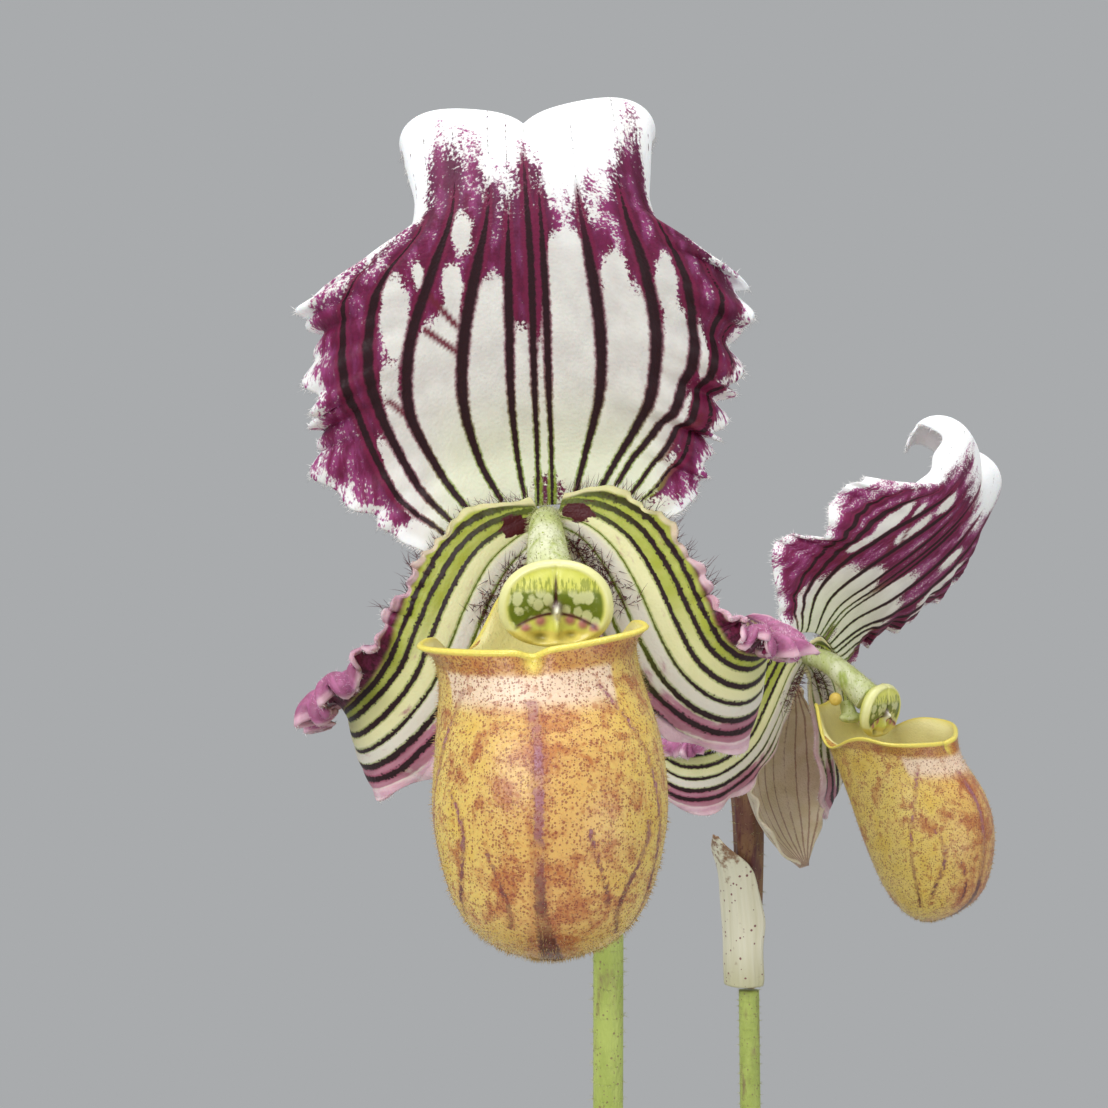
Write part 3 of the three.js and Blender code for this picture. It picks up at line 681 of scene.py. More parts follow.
def rotation(x=0, y=0, z=0):
    """The matrix that turns about z, then about y, then about x, by degrees."""
    (cx, sx), (cy, sy), (cz, sz) = ((np.cos(a), np.sin(a)) for a in np.radians([x, y, z]))
    about_x = np.array([[1, 0, 0], [0, cx, -sx], [0, sx, cx]])
    about_y = np.array([[cy, 0, sy], [0, 1, 0], [-sy, 0, cy]])
    about_z = np.array([[cz, -sz, 0], [sz, cz, 0], [0, 0, 1]])
    return about_x @ about_y @ about_z


def in_place(flower, points):
    """Points of a flower's own frame, turned and moved to where the flower stands."""
    return points @ rotation(z=flower["turn"]).T + flower["centre"]


def ramp(value, low, high):
    """Goes smoothly from 0 to 1 as the value goes from low to high."""
    share = np.clip((value - low) / (high - low), 0, 1)
    return share * share * (3 - 2 * share)


def hairs(roots, ways, lengths, radius, bend, rings=(0, 0.4, 0.75)):
    """Tapered three-sided hairs: root + way·length·share + bend·share², with a ring at each share of the
    length and a tip."""
    count, steps = len(roots), len(rings)
    ways = unit(ways)
    side = unit(np.cross(ways, [0.31, 0.52, 0.79]))
    other = np.cross(ways, side)
    lengths = np.broadcast_to(lengths, count)
    levels = []
    for share in rings:
        middle = roots + ways * (lengths * share)[:, None] + bend * share ** 2
        width = radius * (1 - 0.7 * share ** 1.5)
        for turn in np.arange(3) * 2 * np.pi / 3:
            levels.append(middle + width * (side * np.cos(turn) + other * np.sin(turn)))
    levels.append(roots + ways * lengths[:, None] + bend)
    vertices = np.stack(levels, 1).reshape(-1, 3)
    base = (np.arange(count) * (3 * steps + 1))[:, None]
    k = np.arange(3)
    after = (k + 1) % 3
    top = 3 * (steps - 1)
    tips = np.stack([top + k, top + after, np.full(3, top + 3)], -1)
    fans = (np.concatenate([tips, [[2, 1, 0]]])[None] + base[..., None]).reshape(-1, 3)
    if steps == 1:
        return vertices, [fans]
    squares = [np.stack([low + k, low + after, low + 3 + after, low + 3 + k], -1) for low in range(0, top, 3)]
    return vertices, [(np.concatenate(squares)[None] + base[..., None]).reshape(-1, 4), fans]


SPIKE = (0,)  # rings of a short straight hair, which has only its root and its tip


def streak_group():
    """A vein: Mask is 1 within Width of its line, where Distance is how far away the line is. Wobble, in the
    same millimetres, roughens its edges."""
    made, entry, leave = group(
        "streak", {"Vector": "Vector", "Distance": "Float", "Width": "Float", "Wobble": "Float"}, ["Mask"]
    )
    rough = calc(made, "SUBTRACT", noise(made, entry["Vector"], 2.2, detail=4.0, roughness=0.65), 0.5)
    shifted = calc(made, "ADD", entry["Distance"], times(made, rough, entry["Wobble"]))
    inner = times(made, entry["Width"], 0.7)
    outer = calc(made, "MULTIPLY_ADD", entry["Width"], 1.1, 0.04)
    made.links.new(fade(made, shifted, outer, inner), leave["Mask"])
    return made


streak = streak_group()


def vein(tree, place, distance, width, wobble):
    """A mask of the vein whose distance is stored in the mesh."""
    inputs = {"Vector": place, "Distance": distance, "Width": width, "Wobble": wobble}
    return node(tree, "Group", inputs, node_tree=streak).outputs["Mask"]


def hair_material(name, darker, paler):
    """Plant hairs, from a darker to a paler colour in soft clouds a millimetre or so wide."""
    made, tree = material(name)
    place = object_place(tree)
    base = mix(tree, noise(tree, place, 0.8, detail=2.0), darker, paler)
    surface(tree, base, 0.5, noise(tree, place, 8.0), 0.02)
    return made


white_hair = hair_material("white_hair", colour("f4efe9"), colour("ffffff"))
dark_hair = hair_material("dark_hair", colour("3c0c18"), colour("6a2030"))
green_hair = hair_material("green_hair", colour("a9a86a"), colour("d9d6a8"))


# Dorsal sepals: thin upright blades with ruffled side lobes, margins rolled back above them and a tip that
# rolls over to the back. White tissue, with dark veins that run into purple clouds, and white hairs on the
# margin and down the back.
SEPAL_LINE = [
    (0, 3.6, 0.8), (0, 3, 5.6), (0, 0, 10.8), (0, -2.6, 16), (0, -4.6, 21),
    (0, -5.6, 25.5), (0, -5.2, 30), (0, -3, 33.8), (0, 0.6, 34.7), (0, 3.6, 32),
]
# each side's half width and how far its margin lags behind the middle line, from foot to tip, and its ruffles
SEPAL_LEFT = {
    "half": [
        11, 13.6, 17, 20.8, 22, 21.4, 21, 21.6, 22.2, 21.4, 19.4, 14.2, 12.6, 12.6, 12.4, 12.4, 12, 11, 8,
    ],
    "sag": [3.6, 4.2, 5, 6, 6.6, 6.6, 6, 5.4, 4.8, 4.6, 5.4, 5.2, 3.4, 2, 0.6, -1.4, -3.6, -3.8, -3],
    "waves": 5.3,
}
SEPAL_RIGHT = {
    "half": [
        10.2, 12.2, 14.2, 15.2, 16, 17.2, 18, 19, 19.6, 20.6, 19.6, 15.2, 13.4, 13.2, 13, 13, 12.6, 11, 8,
    ],
    "sag": [2, 3.2, 4.4, 5.6, 6.4, 6.4, 6, 6, 6, 6.4, 7.4, 7, 5, 2.8, 0.4, -1.4, -2.8, -2.8, -2.4],
    "waves": 10.2,
}
SEPAL_ROLL = [0, 0, 0, 0, 0, 0, 0, -0.1, -0.2, -0.5, -1.2, -2, -2.3, -2.4, -2.3, -2.2, -2.1, -2, -1.8]
SEPAL_CUP = [0.2, 0.05, -0.05, -0.1, -0.2, -0.3, -0.2, 0.2, 0.45, 0.4]
SEPAL_THICKNESS = (0.32, 0.35)  # at the margin, and how much more in the middle
SEPAL_LOBES_END = (0.5, 0.58)
SEPAL_SCALLOP = 0.055
SEPAL_FINE_SCALLOP = 0.02
SEPAL_RUFFLE = 1.5
SEPAL_FINE_RUFFLE = 0.5
SEPAL_FINE_WAVES = 23
SEPAL_CREST_RUFFLE = 0.35
SEPAL_CREST_WAVES = 9
SEPAL_CREST_NOTCH = 1.5
SEPAL_VEIN_SINK = 0.12
SEPAL_FRINGE_HAIRS = 800
SEPAL_FRINGE_LENGTH = 0.75
SEPAL_DOWN_HAIRS = 4200
SEPAL_DOWN_LENGTH = 0.7
SEPAL_VEINS = [
    # millimetres from the middle line at seven equal steps up the blade, the strength, and where it ends
    ([-9, -13.5, -16, -17, -16.7, -12, -10], 0.8, 0.5),
    ([-8, -11.6, -14, -14.8, -13.5, -9.3, -8.5], 1, 0.56),
    ([-6.4, -9.4, -11.6, -11.2, -8.8, -6.7, -6], 1.1, 0.6),
    ([-3.7, -5.9, -6.9, -6.3, -4.8, -3.5, -3.1], 1.1, 0.57),
    ([-2.1, -2.6, -2.7, -2.4, -2.1, -1.8, -1.6], 0.8, 0.54),
    ([-1.05, -0.8, -0.65, -0.4, -0.2, -0.2, -0.2], 0.65, 0.66),
    ([0.2, 0.45, 0.6, 0.8, 0.9, 0.9, 0.9], 0.65, 0.58),
    ([2.05, 3.5, 5, 5.3, 4.8, 4.2, 4], 1, 0.57),
    ([3.7, 6.4, 9.2, 10.1, 9.4, 8.1, 7.6], 1.05, 0.61),
    ([4.9, 7.6, 11.3, 13.4, 12.9, 11, 9.6], 0.9, 0.58),
    ([6.2, 9.4, 12.8, 15.2, 15.9, 13, 11], 0.7, 0.5),
    ([7.2, 11, 14.2, 16.8, 17.6, 14.5, 12], 0.5, 0.42),
]
SEPAL_LANES = [
    # between the veins, from left to right: where along the blade the purple starts and where it ends
    (0.06, 0.6), (0.2, 0.62), (0.27, 0.8), (0.37, 0.76), (0.43, 0.62), (0.34, 0.7), (0.31, 0.78),
    (0.5, 0.6), (0.41, 0.66), (0.34, 0.84), (0.26, 0.78), (0.14, 0.6), (0.05, 0.58),
]
SEPAL_LENGTH = 46
SEPAL_VEIN_REACH = 0.667
SEPAL_VEIN_WIDTH = [0.15, 0.27, 0.42, 0.52, 0.56, 0.52, 0.42, 0.36]
SEPAL_WINDOWS = [
    # pale cells between the veins: millimetres from the middle, share of the length, and half sizes of both
    (-12.1, 0.398, 1.2, 0.075), (-13.2, 0.3, 0.8, 0.03), (-7.5, 0.37, 0.9, 0.03), (-6.9, 0.425, 0.8, 0.04),
    (-5.7, 0.525, 0.85, 0.045), (-9.7, 0.455, 0.5, 0.03), (6.9, 0.43, 1.1, 0.045), (12.1, 0.355, 1.3, 0.042),
    (11.1, 0.43, 0.9, 0.05), (14.2, 0.33, 0.5, 0.05),
]
SEPAL_CROSS_VEINS = [
    # thin cross-veins, each from one place to another: millimetres from the middle and share of the length
    (-9.5, 0.36, -7.1, 0.312), (-8.9, 0.413, -6.9, 0.355),
    (-13.4, 0.263, -11.5, 0.214), (11.4, 0.174, 13.8, 0.236),
]


def sepal_material():
    """Dorsal sepal: white skin, near-black vein cores with purple edges that are green near the foot, and
    purple that clouds between the veins."""
    made, tree = material("sepal")
    flat = read(tree, "flat", "Vector")
    long_place = stretched(tree, flat, (1.0, 0.42, 1))
    pores, tone = skin_at(tree, flat, 3.4)
    ground = mix(tree, tone, colour("d6d2cc"), colour("e6e3dc"))
    ground = mix(tree, read(tree, "pale"), ground, colour("ffffff"))
    ground = mix(tree, times(tree, read(tree, "green"), 0.5), ground, colour("dfe4b8"))
    coarse = calc(tree, "SUBTRACT", noise(tree, long_place, 0.8, detail=4.0, roughness=0.6), 0.5)
    grain = calc(tree, "SUBTRACT", noise(tree, flat, 4.5, detail=2.0), 0.5)
    cloud = calc(tree, "MULTIPLY_ADD", coarse, 1.5, times(tree, grain, 1.5))
    cloud = times(tree, cloud, fade(tree, read(tree, "wash"), 0.0, 0.2))
    wash = fade(tree, calc(tree, "ADD", read(tree, "wash"), cloud), 0.26, 0.6)
    purple = mix(tree, noise(tree, flat, 2.4, detail=4.0, roughness=0.7), colour("4a0828"), colour("861a52"))
    purple = mix(tree, times(tree, fade(tree, coarse, 0.1, -0.1), 0.7), purple, colour("a04682"))
    purple = mix(tree, times(tree, read(tree, "pale"), 0.85), purple, colour("b8509a"))
    beside = times(tree, fade(tree, read(tree, "vein"), 1.5, 0.3), fade(tree, read(tree, "pale"), 1.0, 0.3))
    purple = mix(tree, times(tree, beside, 0.75), purple, colour("42061f"))
    base = mix(tree, wash, ground, purple)
    distance, width = read(tree, "vein"), read(tree, "width")
    fringe_width = calc(tree, "ADD", calc(tree, "MULTIPLY_ADD", read(tree, "wash"), 0.3, 0.14), width)
    fringe = vein(tree, flat, distance, fringe_width, 0.5)
    green_edge = mix(tree, read(tree, "green"), colour("74153f"), colour("7f9423"))
    fringe = times(tree, fringe, fade(tree, width, 0.0, 0.1))
    base = mix(tree, times(tree, fringe, 0.85), base, green_edge)
    base = mix(tree, read(tree, "net"), base, colour("6a1c30"))
    core = vein(tree, flat, distance, width, 0.35)
    ink = mix(tree, fade(tree, read(tree, "pale"), 0.0, 0.5), colour("26040f"), colour("4c0a2c"))
    base = mix(tree, core, base, ink)
    height = calc(tree, "ADD", times(tree, core, 0.5), times(tree, pores, 0.4))
    surface(tree, base, 0.55, height, 0.08,
            Subsurface_Weight=0.08, Subsurface_Scale=0.002, Specular_IOR_Level=0.3)
    return made


def ruffled(s, t, waves, phases):
    """A ruffle: sine waves along the margins, with their own phase on either side, a little uneven in length:
    the sine of 2π·waves·(t + 0.012·sin(17t + phase)) + phase."""
    phase = np.where(s < 0, phases[0], phases[1])
    along = t + 0.012 * np.sin(17 * t + phase)
    return np.sin(2 * np.pi * waves * along + phase)


def by_side(s, left, right):
    """The left value where s is negative, and the right value elsewhere."""
    return np.where(s < 0, left, right)


def sepal_grid(flower, letter):
    """The dorsal sepal: a sheet whose margins are scalloped and ruffled on the lobes and rolled back above
    them, with sunken veins and a notch in its crest. Returns its points and the pattern's values."""
    s, t = across_and_along(fine(150, flower), fine(210, flower))
    phases = {"a": (0.2, 2.6), "b": (0.4, 3.9)}[letter]
    lobes = ramp(t, 0.02, 0.1) * (1 - ramp(t, *SEPAL_LOBES_END))
    swing = ruffled(s, t, by_side(s, SEPAL_LEFT["waves"], SEPAL_RIGHT["waves"]), phases)
    flutter = ruffled(s, t, SEPAL_FINE_WAVES, phases)
    half = by_side(s, through(SEPAL_LEFT["half"], t), through(SEPAL_RIGHT["half"], t))
    half = half * (1 + (SEPAL_SCALLOP * swing + SEPAL_FINE_SCALLOP * flutter) * lobes * np.abs(s) ** 3)
    roll = through(SEPAL_ROLL, t) - lobes * (0.6 + 0.9 * swing)
    sag = by_side(s, through(SEPAL_LEFT["sag"], t), through(SEPAL_RIGHT["sag"], t))
    ruffle = (SEPAL_RUFFLE * lobes * swing + SEPAL_FINE_RUFFLE * lobes * flutter) * np.abs(s) ** 5
    crest_swing = ruffled(s, t, SEPAL_CREST_WAVES, phases)
    ruffle = ruffle + SEPAL_CREST_RUFFLE * (1 - lobes) * crest_swing * s ** 6
    crest = -SEPAL_CREST_NOTCH * np.exp(-np.abs(s) / 0.12) * ramp(t, 0.6, 0.82)
    lines = np.stack([through(keys, t / SEPAL_VEIN_REACH) for keys, _, _ in SEPAL_VEINS])
    ribs = sum(np.exp(-((s * half - line) / 0.5) ** 2) for line in lines) * -SEPAL_VEIN_SINK
    ribs = ribs * ramp(t, 0.05, 0.2) * (1 - ramp(t, 0.5, 0.7))
    relief = ruffle + crest + ribs
    points = sheet(s, t, SEPAL_LINE, [(1, 0, 0), (1, 0, 0)], half, through(SEPAL_CUP, t), roll, sag, relief)
    values = sepal_values(s, t, half, lines, letter)
    points = points * [flower["sepal_spread"], 1, 1] @ rotation(*flower["sepal_tilt"]).T
    return in_place(flower, points) + [flower["sepal_aside"], 0, 0], values


def evened(array, reach):
    """Each value's mean with the values up to reach columns to its left and right."""
    return np.mean([np.roll(array, step, 1) for step in range(-reach, reach + 1)], 0)


def cross_vein(offset, t, from_x, from_t, to_x, to_t):
    """A thin straight vein: 1 near the line between two places, by the distance to its nearest point."""
    run = np.array([to_x - from_x, (to_t - from_t) * SEPAL_LENGTH])
    away_x, away_y = offset - from_x, (t - from_t) * SEPAL_LENGTH + 0 * offset
    place = np.clip((away_x * run[0] + away_y * run[1]) / (run @ run), 0, 1)
    return 1 - ramp(np.hypot(away_x - place * run[0], away_y - place * run[1]), 0.15, 0.35)


def sepal_values(s, t, half, lines, letter):
    """The sepal's pattern: distance to the nearest vein and that vein's width, and where it is washed purple,
    pale, green and netted. Flower b's purple starts lower."""
    offset = s * half
    away = np.abs(offset - lines)
    nearest = np.argmin(away, 0)
    strength = np.array([strength for _, strength, _ in SEPAL_VEINS])[nearest]
    end = np.array([end for _, _, end in SEPAL_VEINS])[nearest]
    width = strength * through(SEPAL_VEIN_WIDTH, t / SEPAL_VEIN_REACH) * (1 - ramp(t, end - 0.16, end + 0.08))
    distance = away.min(0)
    lane = (offset > lines).sum(0)
    close, end = (np.array(column)[lane] for column in zip(*SEPAL_LANES))
    if letter == "b":
        close = np.minimum(close, 0.5) * 0.62
    close, end = evened(close, 2), evened(end, 6)
    near = np.exp(-(distance / 0.9) ** 2)
    margin = ramp(np.abs(s), 0.9, 0.96) * (0.55 + 0.45 * ramp(t, 0.4, 0.46))
    wash = ramp(t, close - 0.03, close + 0.03) * (1 - ramp(t, end - 0.2, end + 0.06)) * (0.74 + 0.26 * near)
    for middle, height, wide, tall in SEPAL_WINDOWS:
        away_squared = ((offset - middle) / wide) ** 2 + ((t - height) / tall) ** 2
        wash = wash * (1 - 1.1 * np.exp(-away_squared ** 2 * 0.7))
    foot_patch = 0.8 * np.exp(-(offset / 1.3) ** 2) * (1 - ramp(t, 0.04, 0.09))
    wash = np.maximum(wash, foot_patch)
    grid = np.ones_like(s * t)
    return {
        "flat": np.stack([s * half, t * SEPAL_LENGTH * grid, 7 * ord(letter) * grid], -1),
        "vein": distance,
        "width": width * (1 - ramp(np.abs(s), 0.93, 0.97)),
        "wash": np.clip(wash, 0, 1) * (1 - margin),
        "pale": np.clip(ramp(t, end - 0.2, end + 0.08) + margin, 0, 1) * grid,
        "green": (1 - ramp(t, 0.08, 0.28)) * (1 - ramp(np.abs(offset), 8, 12)),
        "net": np.max([cross_vein(offset, t, *ends) for ends in SEPAL_CROSS_VEINS], axis=0),
    }


def margin_hairs(points, count, length, outward, edges):
    """Roots, directions and lengths of hairs on the margins of a grid of points: they point out from the
    sheet, scattered a little. edges names the margins: left is the first column, and right is the last."""
    roots, ways = [], []
    for edge in edges:
        line, inner = {"left": (points[:, 0], points[:, 3]), "right": (points[:, -1], points[:, -4])}[edge]
        place = chance.uniform(0, 1, count) * (len(line) - 1)
        i = np.minimum(place.astype(int), len(line) - 2)
        share = (place - i)[:, None]
        roots.append(line[i] * (1 - share) + line[i + 1] * share)
        ways.append(unit(line[i] - inner[i]) * outward + chance.normal(0, 0.35, (count, 3)))
    roots, ways = np.concatenate(roots), np.concatenate(ways)
    return roots, ways, length * chance.uniform(0.5, 1.15, len(roots))


def fur(points, count, rows, columns, way, length, radius):
    """Hairs scattered over part of a grid of points. way is 1 for its front and -1 for its back."""
    j, i = chance.integers(*rows, count), chance.integers(*columns, count)
    ways = front_way(points)[j, i] * way + chance.normal(0, 0.3, (count, 3))
    lengths = length * chance.uniform(0.6, 1.15, count)
    return hairs(points[j, i], ways, lengths, radius, chance.normal(0, 0.15 * length, (count, 3)), SPIKE)


def blade(points, margin, extra):
    """A sheet as a closed blade: margin thick at its edge and extra thicker in the middle, by 1 - s²."""
    s = np.linspace(-1, 1, points.shape[1])
    return shell(points, margin + extra * (1 - s ** 2))


sepal_white = sepal_material()
for letter, flower in FLOWERS.items():
    points, values = sepal_grid(flower, letter)
    body = blade(points, *SEPAL_THICKNESS)
    name = f"dorsal_sepal_{letter}"
    piece(f"fine_{name}", *body, sepal_white, "sepal", replaces=[name], attributes=both_sides(**values))
    count = fine(SEPAL_FRINGE_HAIRS, flower)
    roots, ways, lengths = margin_hairs(points, count, SEPAL_FRINGE_LENGTH, 1.0, ["left", "right"])
    fringe = hairs(roots, ways, lengths, 0.04, chance.normal(0, 0.12, (len(roots), 3)), SPIKE)
    piece(f"sepal_hairs_{letter}", *fringe, white_hair, "sepal")
    rows, columns = points.shape[:2]
    count, upper = fine(SEPAL_DOWN_HAIRS, flower), (rows * 2 // 5, rows * 19 // 20)
    down = fur(points, count, upper, (4, columns - 4), -1, SEPAL_DOWN_LENGTH, 0.03)
    piece(f"sepal_down_{letter}", *down, white_hair, "sepal")


# Synsepals: the two lower sepals grown into one blade, which hangs from the flower's centre behind the pouch.
# Thin pale tissue with fine purple-brown veins.
SYNSEPAL_LINE = [(0, 4.6, -4.8), (0, 7, -9), (0, 8.8, -14.5), (0, 8.6, -20.4), (0, 6, -26), (0, 2.4, -30)]
SYNSEPAL_HALF = [1.8, 7.8, 11.2, 11.4, 8, 1.2]
SYNSEPAL_CUP = [0.9, 0.95, 0.9, 0.9, 0.8, 0.5]
SYNSEPAL_THICKNESS = (0.35, 0.3)
SYNSEPAL_LENGTH = 30
SYNSEPAL_VEINS = np.linspace(-0.88, 0.88, 11)


def synsepal_material():
    """Synsepal: buff and cream tissue, with thin purple-brown veins along it."""
    made, tree = material("synsepal")
    flat = read(tree, "flat", "Vector")
    pores, tone = skin_at(tree, flat, 3.4)
    base = mix(tree, tone, colour("dccfae"), colour("e9ddc6"))
    lines = vein(tree, flat, read(tree, "vein"), 0.16, 0.3)
    base = mix(tree, times(tree, lines, 0.55), base, colour("8a5048"))
    height = calc(tree, "ADD", times(tree, lines, 0.5), times(tree, pores, 0.5))
    surface(tree, base, 0.5, height, 0.12, Subsurface_Weight=0.08, Subsurface_Scale=0.002)
    return made


synsepal_pale = synsepal_material()
for letter, flower in FLOWERS.items():
    s, t = across_and_along(61, 61)
    half = through(SYNSEPAL_HALF, t)
    ruffle = 0.5 * ruffled(s, t, 6, (0.5, 2.2)) * s ** 6
    across = [(-1, 0, 0), (-1, 0, 0)]
    points = sheet(s, t, SYNSEPAL_LINE, across, half, through(SYNSEPAL_CUP, t), relief=ruffle)
    points = in_place(flower, points)
    values = both_sides(
        flat=np.stack([s * half, t * SYNSEPAL_LENGTH + 0 * s, 0 * s * t + 3], -1),
        vein=np.min([np.abs(s - line) * half for line in SYNSEPAL_VEINS], axis=0),
    )
    name = f"synsepal_{letter}"
    body = blade(points, *SYNSEPAL_THICKNESS)
    piece(f"fine_{name}", *body, synsepal_pale, "sepal", replaces=[name], attributes=values)


# Petals: two narrow blades that sweep down and curl back up at their ends. Green and cream with dark stripes,
# a crinkled upper margin that turns purple, dark hairs on it and a tuft of curly dark hairs at the foot.
PETALS = {
    "left": [
        (0.6, 2.2, -0.9), (3, 1.5, -2), (5.6, 0.9, -4), (7.8, 0.6, -7.2), (9.7, 0.7, -10.8),
        (11.6, 1.1, -14.2), (14.2, 2, -17), (16.9, 3.6, -19), (18.8, 6.6, -19.6), (19.4, 10, -18.2),
        (18.6, 13, -15.8),
    ],
    "right": [
        (0.6, 2.2, -0.4), (3.2, 1.5, -1.4), (5.4, 0.9, -3.6), (7.2, 0.6, -7), (8.7, 0.7, -10.8),
        (10.5, 1.1, -14.3), (13, 2.2, -16.7), (15.8, 4.4, -17.6), (18, 7.6, -16.6), (18.5, 11, -14.2),
        (17.6, 13.6, -11.2),
    ],
}
PETAL_ACROSS = [
    (-0.3, 0, -0.95), (-0.42, 0, -0.9), (-0.55, 0, -0.83), (-0.66, 0, -0.75), (-0.72, 0, -0.7),
    (-0.72, 0, -0.7), (-0.62, 0, -0.78), (-0.4, 0, -0.9), (-0.2, 0, -0.97), (-0.1, 0.1, -1), (0, 0.1, -1),
]
PETAL_HALF = [2.2, 3.6, 4.6, 4.8, 4.7, 4.4, 4.2, 4.1, 3.8, 3, 0.9]
PETAL_UPPER_HEM = {
    "left": [0, 0.3, 0.6, 0.8, 1.4, 3.4, 5.8, 6.2, 5.4, 4, 1.2],
    "right": [0, 0.3, 0.6, 0.8, 1.2, 3.4, 5.6, 5.2, 3.8, 2.4, 0.8],
}
PETAL_FLARE = {"left": (0.3, -0.3, -0.8), "right": (0.5, -0.2, -0.3)}  # which way the outer hem is pulled
PETAL_BLOTCH = {"left": 0.09, "right": 0.055}
PETAL_LOWER_HEM = [0, 0, 0.1, 0.3, 0.5, 0.9, 1.2, 1.2, 1, 0.7, 0.3]
PETAL_HEM_ROLL = [-0.5, -0.6, -0.4, 0, 0.8, 3, 5, 5.4, 5.2, 4.4, 3]
PETAL_CUP = [0.2, -0.1, -0.3, -0.35, -0.35, -0.3, -0.3, -0.2, -0.2, -0.2, -0.2]
PETAL_CRINKLE = [0, 0.15, 0.45, 0.6, 0.6, 0.6, 0.7, 0.8, 0.8, 0.6, 0.2]
PETAL_RUFFLE = [0, 0, 0, 0.1, 0.2, 0.4, 0.7, 0.9, 0.9, 0.8, 0.5]
PETAL_FLARE_SHARE = [0, 0, 0, 0, 0, 0.4, 1.4, 2.6, 3.2, 3.2, 2]
PETAL_CRINKLE_WAVES = 27
PETAL_RUFFLE_WAVES = 6.5
PETAL_STRIPE_SINK = 0.1
PETAL_UPPER_WIDTHS = [0.3, 0.3, 0.22, 0.2, 0.2, 0.24, 0.28, 0.3, 0.28, 0.2, 0.1]
PETAL_LOWER_WIDTHS = [0.05, 0.1, 0.13, 0.15, 0.17, 0.22, 0.26, 0.28, 0.26, 0.2, 0.1]
PETAL_THICKNESS = (0.4, 0.35)
PETAL_LONG_HAIRS = 90
PETAL_LONG_LENGTH = 1.5
PETAL_FRINGE_HAIRS = 260
PETAL_FRINGE_LENGTH = 0.5
PETAL_DOWN_HAIRS = 900
PETAL_DOWN_LENGTH = 0.6
PETAL_TUFT_HAIRS = 340
PETAL_LENGTH = 40
PETAL_STRIPES = [
    # places from foot to tip as shares of the half width, negative above the middle line, and the strength
    ([-0.84, -0.88, -0.94, -0.98, -1], 1.1), ([-0.6, -0.62, -0.68, -0.7, -0.7], 1),
    ([-0.34, -0.34, -0.32, -0.28, -0.26], 0.9), ([-0.04, 0, 0.06, 0.12, 0.14], 0.85),
    ([0.3, 0.34, 0.42, 0.5, 0.5], 0.9), ([0.6, 0.64, 0.72, 0.82, 0.8], 0.9), ([0.85, 0.9, 1, 1.2, 1.2], 0.6),
]


def dots_group():
    """Fine spots: Mask is 1 inside a round dot of Size in some of the cells, as many as Share says."""
    made, entry, leave = group(
        "dots", {"Vector": "Vector", "Scale": "Float", "Size": "Float", "Share": "Float"}, ["Mask"]
    )
    cells = node(made, "TexVoronoi", {"Vector": entry["Vector"], "Scale": entry["Scale"]})
    draw = node(made, "SeparateColor", {"Color": cells.outputs["Color"]})
    size = times(made, entry["Size"], calc(made, "MULTIPLY_ADD", draw.outputs[1], 0.7, 0.5))
    inside = fade(made, cells.outputs["Distance"], size, times(made, size, 0.6))
    chosen = calc(made, "LESS_THAN", draw.outputs[0], entry["Share"])
    made.links.new(times(made, inside, chosen), leave["Mask"])
    return made


dots = dots_group()


def spots(tree, place, scale, size, share):
    """A mask of fine round spots: about scale cells to a unit, of which the share given holds a spot."""
    inputs = {"Vector": place, "Scale": scale, "Size": size, "Share": share}
    return node(tree, "Group", inputs, node_tree=dots).outputs["Mask"]


